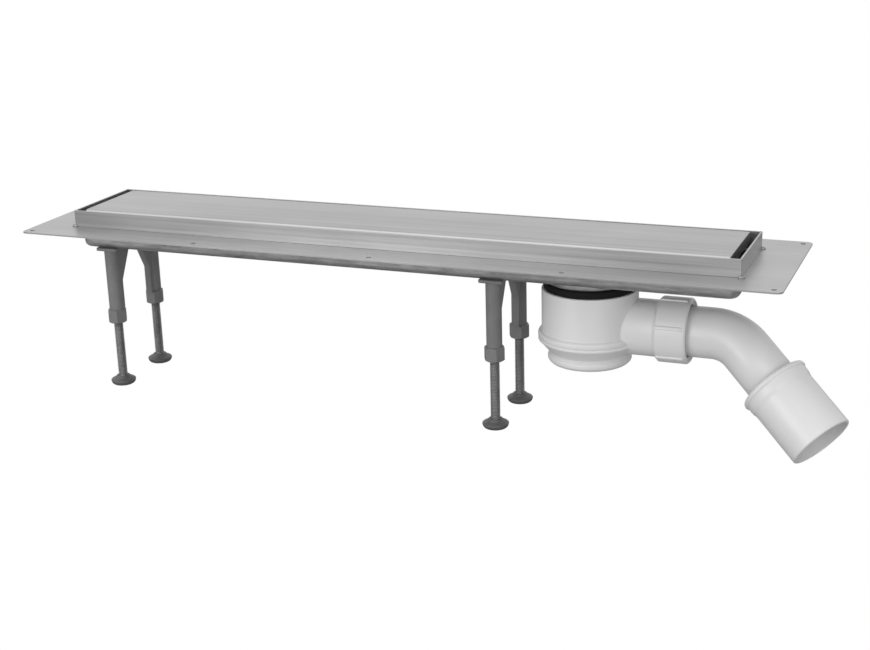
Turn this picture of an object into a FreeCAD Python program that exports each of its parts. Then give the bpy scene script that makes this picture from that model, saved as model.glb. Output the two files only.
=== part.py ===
import FreeCAD, Part
import math
import os
import Sketcher

# Linear shower drain: pressed channel with upstand frame and cover, siphon trap with a side
# outlet, 45 degree bend and adapter, and two arched brackets with four adjustable feet.
# Millimetres. The origin is the middle of the flange, on its top face; +X runs along the
# channel to the outlet end, +Y to the back, +Z up.

doc = FreeCAD.newDocument("ShowerDrain")
sheet = doc.addObject("Spreadsheet::Sheet", "Size")

# Every size that can be chosen by itself: alias, value, what it is
dimensions = [
    ("sheetMetal", 1.2, "sheet of the pressed channel"),
    ("flangeSide", 30, "flange beyond the frame at a side"),
    ("flangeEnd", 35, "flange beyond the frame at an end"),
    ("flangeCorner", 5, "corner radius of the flange"),
    ("anchorInset", 7, "anchor holes in from the flange's edges"),
    ("anchorRadius", 2, "radius of an anchor hole"),
    ("basinLength", 571, "outside length of the basin"),
    ("basinMargin", 3.5, "basin's side beyond the outlet boss"),
    ("basinDepth", 19, "flange top to basin underside"),
    ("basinCorner", 9, "corner radius of the basin in plan"),
    ("basinEdge", 5, "outside radius along the basin's bottom"),
    ("outletToEnd", 124.5, "outlet's axis in from the basin's right end"),
    ("bossRadius", 36, "outside radius of the drawn outlet boss"),
    ("bossDepth", 4, "boss below the basin"),
    ("bossEdge", 1.5, "outside radius of the boss's lip"),
    ("throatLedge", 9, "boss beyond the clear throat"),
    ("frameSide", 3, "frame beyond the basin at a side"),
    ("frameEnd", 2, "frame beyond the basin at an end"),
    ("frameHeight", 14, "height of the upstand frame"),
    ("frameWall", 1.5, "wall of the upstand frame"),
    ("coverEndGap", 7.5, "gap between cover and frame at an end"),
    ("coverSideGap", 2, "gap between cover and frame at a side"),
    ("coverSheet", 1.5, "sheet of the cover"),
    ("coverProud", 0.5, "cover above the frame"),
    ("coverSkirt", 9, "height of the cover's folded edge"),
    ("coverBend", 3, "outside radius of the cover's long edges"),
    ("coverEnd", 1.6, "outside radius of the cover's ends"),
    ("saddleLength", 30, "length of one cover saddle"),
    ("saddleSheet", 1.5, "sheet of a cover saddle"),
    ("saddleSpacing", 210, "distance between cover saddles"),
    ("saddleInset", 7.5, "a saddle's webs in from the frame's outside"),
    ("saddlePlay", 0.3, "a saddle's foot inside the frame"),
    ("sealThickness", 6, "rubber seal under the boss"),
    ("sealProud", 1, "that seal beyond the boss"),
    ("sealEdge", 0.8, "chamfer at that seal's rim"),
    ("clampThickness", 3, "clamp ring"),
    ("clampPlay", 0.5, "clamp ring inside the boss"),
    ("clampPitch", 3.7, "clamp screws out from the throat"),
    ("clampScrewRadius", 1.95, "shank of a clamp screw"),
    ("clampHeadRadius", 3.3, "countersunk head of a clamp screw"),
    ("clampScrewLength", 16, "clamp screw over all"),
    ("screwPlay", 0.15, "radial play round a screw's shank"),
    ("trapProud", 2.4, "trap's barrel beyond the boss"),
    ("trapWall", 3, "wall of the trap"),
    ("trapBarrel", 34.5, "height of the barrel"),
    ("trapRim", 8, "thick rim at the top of the trap"),
    ("rimSkin", 1, "left under the screw holes in that rim"),
    ("bandProud", 2.8, "band outside the barrel"),
    ("bandHeight", 9.5, "height of the band"),
    ("bandShoulder", 1.5, "slope at the top of the band"),
    ("bandBevel", 3, "bevel at the bottom of the band"),
    ("bandBevelIn", 2, "how far that bevel goes in"),
    ("taperHeight", 6, "taper under the band"),
    ("neckStep", 4.9, "neck in from the barrel"),
    ("neckBead", 0.5, "half-round bead above the groove"),
    ("neckGroove", 1, "depth of the groove over the cap"),
    ("neckHeight", 5, "height of the neck"),
    ("neckWall", 4.5, "wall of the neck"),
    ("capHeight", 6, "height of the cleaning cap's rim"),
    ("capSpigot", 4, "spigot of the cleaning cap in the neck"),
    ("capFloor", 2.5, "floor of the cleaning cap"),
    ("capBevel", 2.5, "bevel at the cap's bottom edge"),
    ("capLip", 0.6, "bevel at the cap's top edge"),
    ("capWall", 2.1, "wall of the cap's spigot"),
    ("stubDrop", 29.5, "outlet axis below the trap's top"),
    ("stubLength", 35.6, "outlet stub beyond the barrel"),
    ("stubWall", 2.5, "stub beyond the pipe inside it"),
    ("threadHeight", 1.4, "stub's thread beyond the stub"),
    ("threadLength", 14, "length of the stub's thread"),
    ("cupHeight", 49, "height of the siphon cup"),
    ("cupWall", 1.6, "wall of the siphon cup"),
    ("cupGap", 3.2, "water gap round the siphon cup"),
    ("cupEdge", 3, "bevel at the cup's bottom edge"),
    ("dipWall", 2, "wall of the dip tube"),
    ("dipGap", 5.2, "water gap between the dip tube and the cup"),
    ("dipDepth", 40, "dip tube below its collar"),
    ("dipFlangeReach", 4, "dip tube's flange beyond the throat"),
    ("dipMouthStep", 4.5, "dip tube's mouth in from the throat"),
    ("dipShoulder", 3, "slope between the collar and the tube"),
    ("dipFlangeHeight", 2, "thickness of that flange"),
    ("dipCollar", 17, "height of the dip tube's collar"),
    ("dipPlay", 0.4, "collar inside the throat"),
    ("ringSection", 1.3, "section radius of the O-ring"),
    ("ringPlace", 13.8, "O-ring below the flange"),
    ("ringPlay", 0.1, "O-ring in its groove"),
    ("ringPress", 0.05, "O-ring from the surfaces it seals"),
    ("strainerDepth", 12, "depth of the hair strainer"),
    ("strainerWall", 1.2, "wall of the hair strainer"),
    ("strainerPlay", 0.5, "strainer inside the dip tube's mouth"),
    ("strainerRim", 4, "rim of the strainer on the dip tube's flange"),
    ("strainerKnob", 3, "radius of the strainer's knob"),
    ("knobWaist", 1, "waist of that knob"),
    ("strainerHole", 2, "radius of a strainer hole"),
    ("pipeRadius", 20, "outside radius of the outlet pipe"),
    ("pipeWall", 2, "wall of the outlet pipe"),
    ("pipeInsert", 18, "pipe inside the stub"),
    ("pipeStraight", 24.7, "straight pipe beyond the stub's mouth"),
    ("fitPlay", 0.08, "radial running clearance of pipe fits"),
    ("nutGrip", 17, "union nut back from the stub's mouth"),
    ("nutWall", 2.1, "union nut beyond the stub's thread"),
    ("nutEdge", 1.5, "bevel at the union nut's ends"),
    ("nutRim", 1.6, "raised rim at the union nut's end"),
    ("nutRimDepth", 1.2, "how far that rim stands out"),
    ("nutMouth", 0.4, "pipe's play in the nut's end"),
    ("unionSealLength", 5, "cone seal under the union nut"),
    ("unionSealEdge", 1, "bevel at that seal's edge"),
    ("unionSealPlay", 0.4, "that seal inside the nut"),
    ("sealPress", 0.02, "seals from the pipe"),
    ("nutRib", 1.1, "height of the grip ribs"),
    ("nutRibWidth", 3, "width of a grip rib"),
    ("nutRibRoot", 1, "grip rib sunk into the nut"),
    ("nutEnd", 3, "thickness of the union nut's end"),
    ("nutTurn", 11, "union nut turned so that a rib faces forward"),
    ("bendRadius", 38, "centre line radius of the bend"),
    ("bendAngle", 45, "turn of the bend"),
    ("bendRoll", 31, "bend turned to the front from straight down"),
    ("armLength", 60, "straight pipe after the bend"),
    ("adapterPlace", 33, "adapter's lip from the end of the bend"),
    ("adapterLength", 58, "length of the adapter"),
    ("adapterStep", 5.5, "adapter beyond the pipe"),
    ("lipProud", 2.2, "socket's lip beyond the adapter"),
    ("lipEdge", 2, "bevel at the lip's mouth"),
    ("adapterLipLength", 13, "length of the socket's lip"),
    ("adapterWall", 2.2, "wall of the adapter's open end"),
    ("adapterSocket", 28, "depth of the adapter's socket"),
    ("adapterEdge", 0.8, "bevel at the adapter's open end"),
    ("adapterStop", 2, "stop for the pipe in the socket"),
    ("adapterSlope", 3, "slope from that stop to the open bore"),
    ("lipSealDepth", 1.6, "wall outside the lip seal"),
    ("lipSealEnd", 4, "lip seal in from both ends of the lip"),
    ("lipSealFin", 1.5, "sealing fin of the lip seal"),
    ("legToEnd", 24.5, "left bracket in from the basin's left end"),
    ("legToOutlet", 70, "right bracket from the outlet's axis"),
    ("legInset", 8.5, "stud axis in from the basin's side"),
    ("plateThickness", 2.5, "top plate of a bracket"),
    ("plateLength", 20, "top plate along the channel"),
    ("plateOverhang", 9, "top plate beyond the stud axis"),
    ("plateCorner", 2, "corner radius of the top plate"),
    ("sleeveRadius", 6.4, "outside radius of a sleeve"),
    ("sleeveBore", 4.4, "bore of a sleeve"),
    ("legDrop", 68.5, "basin underside to the collar's bottom"),
    ("collarAcross", 15, "collar across its flats"),
    ("collarHeight", 12, "height of the collar"),
    ("collarChamfer", 1.5, "chamfer at the collar's ends"),
    ("ribDepth", 9, "inner rib in from the stud axis"),
    ("webThickness", 6, "thickness of the arch web"),
    ("webClear", 1.5, "arch web clear of the washers"),
    ("webReach", 30, "arch web below the plate"),
    ("studHoleRadius", 2.2, "bracket hole for a weld stud"),
    ("weldStudRadius", 1.95, "radius of a weld stud"),
    ("weldStudLength", 9, "length of a weld stud"),
    ("weldStudSpacing", 11.6, "distance between a bracket's weld studs"),
    ("washerRadius", 4.5, "outside radius of a washer"),
    ("washerThickness", 0.8, "thickness of a washer"),
    ("smallNutAcross", 7, "bracket nut across its flats"),
    ("smallNutHeight", 3.2, "height of a bracket nut"),
    ("footNutAcross", 13, "captive nut across its flats"),
    ("footNutHeight", 6.5, "height of a captive nut"),
    ("footNutPocket", 0.1, "play of a captive nut in its pocket"),
    ("footNutRecess", 2, "captive nut above the collar's bottom"),
    ("studRadius", 3.95, "outside radius of a leg stud"),
    ("studLength", 90, "length of a leg stud"),
    ("studChamfer", 0.8, "chamfer at a leg stud's ends"),
    ("studPlay", 0.05, "radial running clearance of a leg stud"),
    ("studSocket", 5.5, "leg stud inside its foot"),
    ("footRadius", 11, "radius of a foot disc"),
    ("footBase", 8.5, "radius of a foot's flat underside"),
    ("footSlope", 1.2, "flare at the bottom of a foot's hub"),
    ("footHubHeight", 1.8, "height of that hub above the flare"),
    ("footEdge", 0.7, "turn of a foot's rim, below"),
    ("footBrow", 1, "turn of a foot's rim, above"),
    ("footHub", 5.6, "radius at the top of a foot's hub"),
    ("footRim", 4, "height of the foot's widest line"),
    ("footHeight", 8, "height of a foot"),
    ("floorDrop", 145, "flange top to the floor"),
]

# Sizes that follow from those above, so that mating pieces keep together
dependents = [
    ("basinWidth", "=2 * (bossRadius + basinMargin)", "outside width of the basin"),
    ("frameLength", "=basinLength + 2 * frameEnd", "outside length of the upstand frame"),
    ("frameWidth", "=basinWidth + 2 * frameSide", "outside width of the upstand frame"),
    ("flangeLength", "=frameLength + 2 * flangeEnd", "flange along the channel"),
    ("flangeWidth", "=frameWidth + 2 * flangeSide", "flange across the channel"),
    ("outletPlace", "=basinLength / 2 - outletToEnd", "outlet's axis from the middle"),
    ("throatRadius", "=bossRadius - throatLedge", "clear radius of the outlet throat"),
    ("saddleWeb", "=frameWidth / 2 - saddleInset", "half width of a saddle over its webs"),
    ("sealRadius", "=bossRadius + sealProud", "outside radius of the rubber seal"),
    ("clampPitchRadius", "=throatRadius + clampPitch", "clamp screws from the outlet's axis"),
    ("trapRadius", "=bossRadius + trapProud", "outside radius of the trap's barrel"),
    ("neckRadius", "=trapRadius - neckStep", "outside radius of the neck"),
    ("cupRadius", "=neckRadius - neckWall - cupGap", "outside radius of the siphon cup"),
    ("dipRadius", "=cupRadius - cupWall - dipGap", "outside radius of the dip tube"),
    ("dipFlange", "=throatRadius + dipFlangeReach", "radius of the dip tube's flange"),
    ("dipMouth", "=throatRadius - dipMouthStep", "bore of the dip tube's mouth"),
    ("stubReach", "=trapRadius + stubLength", "trap's axis to the stub's mouth"),
    ("stubRadius", "=pipeRadius + stubWall", "outside radius of the outlet stub"),
    ("stubThread", "=stubRadius + threadHeight", "outside radius of the stub's thread"),
    ("nutPlace", "=stubReach - nutGrip", "trap's axis to the union nut"),
    ("nutLength", "=nutGrip + unionSealLength + nutEnd", "length of the union nut"),
    ("nutRadius", "=stubThread + nutWall", "radius of the union nut between its ribs"),
    ("bendPlace", "=stubReach + pipeStraight", "trap's axis to the start of the bend"),
    ("adapterRadius", "=pipeRadius + adapterStep", "outside radius of the adapter"),
    ("adapterLip", "=adapterRadius + lipProud", "outside radius of the socket's lip"),
    ("legLeft", "=legToEnd - basinLength / 2", "left bracket from the middle"),
    ("legRight", "=outletPlace - legToOutlet", "right bracket from the middle"),
    ("legSpread", "=basinWidth / 2 - legInset", "stud axis from the channel's centre line"),
    ("webLength", "=legSpread - washerRadius - webClear", "arch web in from the stud axis, at the plate"),
]
for row, (alias, value, meaning) in enumerate(dimensions + dependents, start=1):
    sheet.set("A%d" % row, meaning)
    sheet.setAlias("B%d" % row, alias)
    sheet.set("B%d" % row, str(value))
doc.recompute()

Vector = FreeCAD.Vector
bodies = []


# An expression's present value
def size(expression):
    return float(sheet.evalExpression(expression))


def newBody(label, x="0", y="0", z="0"):
    body = doc.addObject("PartDesign::Body", label)
    body.Label = label
    body.AllowCompound = True
    for axis, place in zip("xyz", (x, y, z)):
        body.setExpression("Placement.Base." + axis, place)
    bodies.append(body)
    return body


def originPart(body, role):
    return [part for part in body.Origin.OriginFeatures if part.Role == role][0]


# A sketch on one of the body's own planes; shift moves it along the plane's normal
def sketchOn(body, plane, shift="0", across="0"):
    sketch = body.newObject("Sketcher::SketchObject", body.Name + "Sketch")
    sketch.AttachmentSupport = [(originPart(body, plane), "")]
    sketch.MapMode = "FlatFace"
    sketch.setExpression("AttachmentOffset.Base.z", shift)
    sketch.setExpression("AttachmentOffset.Base.x", across)
    return sketch


def bound(sketch, constraint, expression):
    number = sketch.addConstraint(constraint)
    name = "size%d" % number
    sketch.renameConstraint(number, name)
    sketch.setExpression("Constraints." + name, expression)


# Ties one point of the sketch to the sheet, measured from the sketch's origin
def tie(sketch, item, point, x, y):
    for kind, axis, expression in (("DistanceX", -2, x), ("DistanceY", -1, y)):
        value = size(expression)
        if abs(value) < 1e-9:
            sketch.addConstraint(Sketcher.Constraint("PointOnObject", item, point, axis))
        else:
            bound(sketch, Sketcher.Constraint(kind, -1, 1, item, point, value), expression)


def outline(sketch, corners):
    first = sketch.GeometryCount
    count = len(corners)
    points = [Vector(size(x), size(y), 0) for x, y in corners]
    for i in range(count):
        sketch.addGeometry(Part.LineSegment(points[i], points[(i + 1) % count]), False)
    for i in range(count):
        following = first + (i + 1) % count
        sketch.addConstraint(Sketcher.Constraint("Coincident", first + i, 2, following, 1))
    for i, (x, y) in enumerate(corners):
        tie(sketch, first + i, 1, x, y)


def rectangle(sketch, length, width, x="0", y="0"):
    left = "%s - (%s) / 2" % (x, length)
    right = "%s + (%s) / 2" % (x, length)
    front = "%s - (%s) / 2" % (y, width)
    back = "%s + (%s) / 2" % (y, width)
    outline(sketch, [(left, front), (right, front), (right, back), (left, back)])


def roundedRectangle(sketch, length, width, corner):
    first = sketch.GeometryCount
    farX = "(%s) / 2" % length
    farY = "(%s) / 2" % width
    nearX = "(%s - (%s))" % (farX, corner)
    nearY = "(%s - (%s))" % (farY, corner)
    sides = [
        ("-" + nearX, "-" + farY, nearX, "-" + farY),
        (farX, "-" + nearY, farX, nearY),
        (nearX, farY, "-" + nearX, farY),
        ("-" + farX, nearY, "-" + farX, "-" + nearY),
    ]
    for startX, startY, endX, endY in sides:
        start = Vector(size(startX), size(startY), 0)
        end = Vector(size(endX), size(endY), 0)
        item = sketch.addGeometry(Part.LineSegment(start, end), False)
        tie(sketch, item, 1, startX, startY)
        tie(sketch, item, 2, endX, endY)
    centres = [(1, -1), (1, 1), (-1, 1), (-1, -1)]
    radius = size(corner)
    for i, (sideX, sideY) in enumerate(centres):
        centre = Vector(sideX * size(nearX), sideY * size(nearY), 0)
        turn = math.radians(90 * i - 90)
        arc = Part.ArcOfCircle(Part.Circle(centre, Vector(0, 0, 1), radius), turn, turn + math.pi / 2)
        item = sketch.addGeometry(arc, False)
        sketch.addConstraint(Sketcher.Constraint("Coincident", item, 1, first + i, 2))
        sketch.addConstraint(Sketcher.Constraint("Coincident", item, 2, first + (i + 1) % 4, 1))
        bound(sketch, Sketcher.Constraint("Radius", item, radius), corner)


def circle(sketch, radius, x="0", y="0"):
    centre = Vector(size(x), size(y), 0)
    item = sketch.addGeometry(Part.Circle(centre, Vector(0, 0, 1), size(radius)), False)
    tie(sketch, item, 3, x, y)
    bound(sketch, Sketcher.Constraint("Radius", item, size(radius)), radius)


# A hexagon with two corners on the sketch's own x direction
def hexagon(sketch, across, x="0", y="0"):
    corners = []
    for turn in range(0, 360, 60):
        reach = "(%s) / 2 / cos(30)" % across
        corners.append(("%s + %s * cos(%d)" % (x, reach, turn), "%s + %s * sin(%d)" % (y, reach, turn)))
    outline(sketch, corners)


def extrude(body, kind, sketch, length, reverse):
    feature = body.newObject("PartDesign::" + kind, body.Name + kind)
    feature.Profile = sketch
    feature.Reversed = reverse
    feature.setExpression("Length", length)
    sketch.Visibility = False
    doc.recompute()
    return feature


def pad(body, sketch, length, reverse=False):
    return extrude(body, "Pad", sketch, length, reverse)


# A pocket has to take material away, so its volume is compared with the shape before it
def pocket(body, sketch, length, reverse=False):
    before = body.Shape.Volume
    feature = extrude(body, "Pocket", sketch, length, reverse)
    if not feature.Shape.Volume < before - 1e-3:
        raise ValueError("%s removes nothing from %s" % (feature.Name, body.Label))
    return feature


def turned(body, kind, sketch, axis="V_Axis"):
    before = body.Shape.Volume if kind == "Groove" else 0
    feature = body.newObject("PartDesign::" + kind, body.Name + kind)
    feature.Profile = sketch
    feature.ReferenceAxis = (sketch, [axis])
    feature.Angle = 360
    doc.recompute()
    if kind == "Groove" and not feature.Shape.Volume < before - 1e-3:
        raise ValueError("%s removes nothing from %s" % (feature.Name, body.Label))
    return feature


def revolve(body, corners, axis="V_Axis", across="0"):
    sketch = sketchOn(body, "XZ_Plane", across=across)
    outline(sketch, corners)
    return turned(body, "Revolution", sketch, axis)


def groove(body, corners, axis="V_Axis", across="0"):
    sketch = sketchOn(body, "XZ_Plane", across=across)
    outline(sketch, corners)
    return turned(body, "Groove", sketch, axis)


# Repeats a feature evenly round one of the body's own axes
def around(body, feature, count, role="Z_Axis"):
    pattern = body.newObject("PartDesign::PolarPattern", body.Name + "Pattern")
    pattern.Originals = [feature]
    pattern.Axis = (originPart(body, role), [""])
    pattern.Angle = 360
    pattern.Occurrences = count
    body.Tip = pattern
    doc.recompute()
    return pattern


# Rounds or chamfers the edges of the body that pass the test
def dress(body, kind, amount, test):
    base = body.Tip
    edges = ["Edge%d" % (i + 1) for i, edge in enumerate(base.Shape.Edges) if test(edge)]
    if not edges:
        raise ValueError("no edge to dress on " + body.Label)
    feature = body.newObject("PartDesign::" + kind, body.Name + kind)
    feature.Base = (base, edges)
    feature.setExpression("Radius" if kind == "Fillet" else "Size", amount)
    doc.recompute()
    return feature


def near(value, expression):
    return abs(value - size(expression)) < 0.01


def level(edge, height):
    box = edge.BoundBox
    return box.ZLength < 0.01 and near(box.ZMin, height)


def roundEdge(edge, radius, height):
    curve = edge.Curve
    return isinstance(curve, Part.Circle) and near(curve.Radius, radius) and level(edge, height)


# Channel body: flange, basin and outlet boss pressed from one sheet
channel = newBody("channel_body")
flangeSketch = sketchOn(channel, "XY_Plane")
roundedRectangle(flangeSketch, "Size.flangeLength", "Size.flangeWidth", "Size.flangeCorner")
pad(channel, flangeSketch, "Size.sheetMetal", True)

basinSketch = sketchOn(channel, "XY_Plane", "-Size.sheetMetal")
roundedRectangle(basinSketch, "Size.basinLength", "Size.basinWidth", "Size.basinCorner")
pad(channel, basinSketch, "Size.basinDepth - Size.sheetMetal", True)

bossSketch = sketchOn(channel, "XY_Plane", "-Size.basinDepth")
circle(bossSketch, "Size.bossRadius", "Size.outletPlace")
pad(channel, bossSketch, "Size.bossDepth", True)

hollowLength = "Size.basinLength - 2 * Size.sheetMetal"
hollowWidth = "Size.basinWidth - 2 * Size.sheetMetal"
hollowSketch = sketchOn(channel, "XY_Plane")
roundedRectangle(hollowSketch, hollowLength, hollowWidth, "Size.basinCorner - Size.sheetMetal")
pocket(channel, hollowSketch, "Size.basinDepth - Size.sheetMetal")
dress(channel, "Fillet", "Size.basinEdge - Size.sheetMetal",
      lambda edge: level(edge, "Size.sheetMetal - Size.basinDepth"))
dress(channel, "Fillet", "Size.basinEdge",
      lambda edge: level(edge, "-Size.basinDepth") and not roundEdge(edge, "Size.bossRadius", "-Size.basinDepth"))
dress(channel, "Fillet", "Size.bossEdge",
      lambda edge: level(edge, "-Size.basinDepth - Size.bossDepth"))

recessSketch = sketchOn(channel, "XY_Plane", "Size.sheetMetal - Size.basinDepth")
circle(recessSketch, "Size.bossRadius - Size.sheetMetal", "Size.outletPlace")
pocket(channel, recessSketch, "Size.bossDepth")

throatSketch = sketchOn(channel, "XY_Plane", "Size.sheetMetal - Size.basinDepth - Size.bossDepth")
circle(throatSketch, "Size.throatRadius", "Size.outletPlace")
for turn in range(0, 360, 90):
    circle(throatSketch, "Size.clampScrewRadius + Size.screwPlay",
           "Size.outletPlace + Size.clampPitchRadius * cos(%d)" % turn,
           "Size.clampPitchRadius * sin(%d)" % turn)
pocket(channel, throatSketch, "Size.sheetMetal")

# Five anchor holes along each long side
anchorSketch = sketchOn(channel, "XY_Plane")
for side in (-1, 1):
    for step in range(-2, 3):
        circle(anchorSketch, "Size.anchorRadius",
               "%d * (Size.flangeLength / 2 - Size.anchorInset) / 2" % step,
               "%d * (Size.flangeWidth / 2 - Size.anchorInset)" % side)
pocket(channel, anchorSketch, "Size.sheetMetal")

# Upstand frame: four strips, welded at the corners and to the flange round the basin
longStrip = ("Size.frameLength", "Size.frameWall")
endStrip = ("Size.frameWall", "Size.frameWidth - 2 * Size.frameWall")
for label, (length, width), side, across in (
        ("frame_front", longStrip, 0, -1), ("frame_back", longStrip, 0, 1),
        ("frame_left", endStrip, -1, 0), ("frame_right", endStrip, 1, 0)):
    strip = newBody(label)
    stripSketch = sketchOn(strip, "XY_Plane")
    rectangle(stripSketch, length, width, "%d * (Size.frameLength - Size.frameWall) / 2" % side,
              "%d * (Size.frameWidth - Size.frameWall) / 2" % across)
    pad(strip, stripSketch, "Size.frameHeight")

# Cover: a plate folded down on all four sides, loose in the frame
coverTop = "Size.frameHeight + Size.coverProud"
coverLength = "(Size.frameLength - 2 * Size.frameWall - 2 * Size.coverEndGap)"
coverWidth = "(Size.frameWidth - 2 * Size.frameWall - 2 * Size.coverSideGap)"
cover = newBody("cover_plate", z=coverTop)
coverSketch = sketchOn(cover, "XY_Plane")
rectangle(coverSketch, coverLength, coverWidth)
pad(cover, coverSketch, "Size.coverSkirt", True)
dress(cover, "Fillet", "Size.coverBend",
      lambda edge: level(edge, "0") and edge.BoundBox.XLength > edge.BoundBox.YLength)
dress(cover, "Fillet", "Size.coverEnd",
      lambda edge: edge.BoundBox.XLength < size("Size.coverBend") + 0.1 and near(edge.BoundBox.ZMax, "0")
      and edge.BoundBox.YLength > size("Size.coverBend"))
coverHollow = sketchOn(cover, "XY_Plane", "-Size.coverSkirt")
rectangle(coverHollow, coverLength + " - 2 * Size.coverSheet", coverWidth + " - 2 * Size.coverSheet")
pocket(cover, coverHollow, "Size.coverSkirt - Size.coverSheet", True)
dress(cover, "Fillet", "Size.coverBend - Size.coverSheet",
      lambda edge: level(edge, "-Size.coverSheet") and edge.BoundBox.XLength > edge.BoundBox.YLength)

# Cover saddles: hat-shaped strips that stand on the flange inside the frame and carry the cover
saddles = newBody("cover_saddles")
saddleTop = "(%s - Size.coverSheet)" % coverTop
saddleFoot = "(Size.frameWidth / 2 - Size.frameWall - Size.saddlePlay)"
for step in (-1, 0, 1):
    saddleSketch = sketchOn(saddles, "YZ_Plane", "%d * Size.saddleSpacing - Size.saddleLength / 2" % step)
    half = [
        (saddleFoot, "0"),
        (saddleFoot, "Size.saddleSheet"),
        ("Size.saddleWeb", "Size.saddleSheet"),
        ("Size.saddleWeb", saddleTop),
    ]
    under = [
        ("Size.saddleWeb - Size.saddleSheet", saddleTop + " - Size.saddleSheet"),
        ("Size.saddleWeb - Size.saddleSheet", "0"),
    ]
    right = half
    left = [("-" + y, z) for y, z in half]
    belowLeft = [("-(%s)" % y, z) for y, z in under]
    outline(saddleSketch, right + left[::-1] + belowLeft[::-1] + under)
    pad(saddles, saddleSketch, "Size.saddleLength")

# Rubber seal between the boss and the trap
bossBottom = "(-Size.basinDepth - Size.bossDepth)"
seal = newBody("outlet_seal", "Size.outletPlace", "0", bossBottom)
revolve(seal, [
    ("Size.throatRadius", "0"),
    ("Size.sealRadius - Size.sealEdge", "0"),
    ("Size.sealRadius", "-Size.sealEdge"),
    ("Size.sealRadius", "Size.sealEdge - Size.sealThickness"),
    ("Size.sealRadius - Size.sealEdge", "-Size.sealThickness"),
    ("Size.throatRadius", "-Size.sealThickness"),
])
sealHoles = sketchOn(seal, "XY_Plane")
for turn in range(0, 360, 90):
    circle(sealHoles, "Size.clampScrewRadius + Size.screwPlay",
           "Size.clampPitchRadius * cos(%d)" % turn, "Size.clampPitchRadius * sin(%d)" % turn)
pocket(seal, sealHoles, "Size.sealThickness")

# Clamp ring inside the boss, with four countersunk screws into the trap's rim
clampTop = "(%s + Size.sheetMetal + Size.clampThickness)" % bossBottom
clamp = newBody("clamp_ring", "Size.outletPlace", "0", clampTop)
clampSketch = sketchOn(clamp, "XY_Plane")
circle(clampSketch, "Size.bossRadius - Size.sheetMetal - Size.clampPlay")
circle(clampSketch, "Size.throatRadius")
pad(clamp, clampSketch, "Size.clampThickness", True)
headDepth = "(Size.clampHeadRadius - Size.clampScrewRadius)"
headHole = groove(clamp, [
    ("0", "0"),
    ("Size.clampHeadRadius + Size.screwPlay", "0"),
    ("Size.clampScrewRadius + Size.screwPlay", "-" + headDepth),
    ("Size.clampScrewRadius + Size.screwPlay", "-Size.clampThickness"),
    ("0", "-Size.clampThickness"),
], across="Size.clampPitchRadius")
around(clamp, headHole, 4)

clampScrews = newBody("clamp_screws", "Size.outletPlace", "0", clampTop)
oneScrew = revolve(clampScrews, [
    ("0", "0"),
    ("Size.clampHeadRadius", "0"),
    ("Size.clampScrewRadius", "-" + headDepth),
    ("Size.clampScrewRadius", "-Size.clampScrewLength"),
    ("0", "-Size.clampScrewLength"),
], across="Size.clampPitchRadius")
around(clampScrews, oneScrew, 4)

# Trap body: barrel with a thicker band, taper and neck, and the threaded outlet stub
trapTop = "(%s - Size.sealThickness)" % bossBottom
bandTop = "Size.trapBarrel"
bandBottom = "(Size.trapBarrel + Size.bandHeight)"
neckTop = "(%s + Size.taperHeight)" % bandBottom
neckBottom = "(%s + Size.neckHeight)" % neckTop
bandRadius = "(Size.trapRadius + Size.bandProud)"
barrelBore = "(Size.trapRadius - Size.trapWall)"
neckBore = "(Size.neckRadius - Size.neckWall)"
pipeBore = "(Size.pipeRadius + Size.fitPlay)"
trap = newBody("trap_body", "Size.outletPlace", "0", trapTop)
revolve(trap, [
    ("0", "0"),
    ("Size.trapRadius", "0"),
    ("Size.trapRadius", "-" + bandTop),
    (bandRadius, "-%s - Size.bandShoulder" % bandTop),
    (bandRadius, "Size.bandBevel - " + bandBottom),
    ("%s - Size.bandBevelIn" % bandRadius, "-" + bandBottom),
    ("Size.neckRadius + Size.neckBead", "-" + neckTop),
    ("Size.neckRadius", "-%s - 2 * Size.neckBead" % neckTop),
    ("Size.neckRadius - Size.neckGroove", "-%s - 3 * Size.neckBead" % neckTop),
    ("Size.neckRadius - Size.neckGroove", "-" + neckBottom),
    ("0", "-" + neckBottom),
])
stubSketch = sketchOn(trap, "YZ_Plane")
circle(stubSketch, "Size.stubRadius", "0", "-Size.stubDrop")
pad(trap, stubSketch, "Size.stubReach")
threadSketch = sketchOn(trap, "YZ_Plane", "Size.stubReach - Size.threadLength")
circle(threadSketch, "Size.stubThread", "0", "-Size.stubDrop")
pad(trap, threadSketch, "Size.threadLength")
groove(trap, [
    ("0", "0"),
    ("Size.throatRadius", "0"),
    ("Size.throatRadius", "-Size.trapRim"),
    (barrelBore, "-Size.trapRim"),
    (barrelBore, "Size.bandBevel - " + bandBottom),
    (neckBore, "-" + neckTop),
    (neckBore, "-" + neckBottom),
    ("0", "-" + neckBottom),
])
stubBoreSketch = sketchOn(trap, "YZ_Plane", "Size.throatRadius")
circle(stubBoreSketch, pipeBore, "0", "-Size.stubDrop")
pocket(trap, stubBoreSketch, "Size.stubReach - Size.throatRadius", True)
rimHoles = sketchOn(trap, "XY_Plane")
for turn in range(0, 360, 90):
    circle(rimHoles, "Size.clampScrewRadius + Size.screwPlay",
           "Size.clampPitchRadius * cos(%d)" % turn, "Size.clampPitchRadius * sin(%d)" % turn)
pocket(trap, rimHoles, "Size.trapRim - Size.rimSkin")

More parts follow.
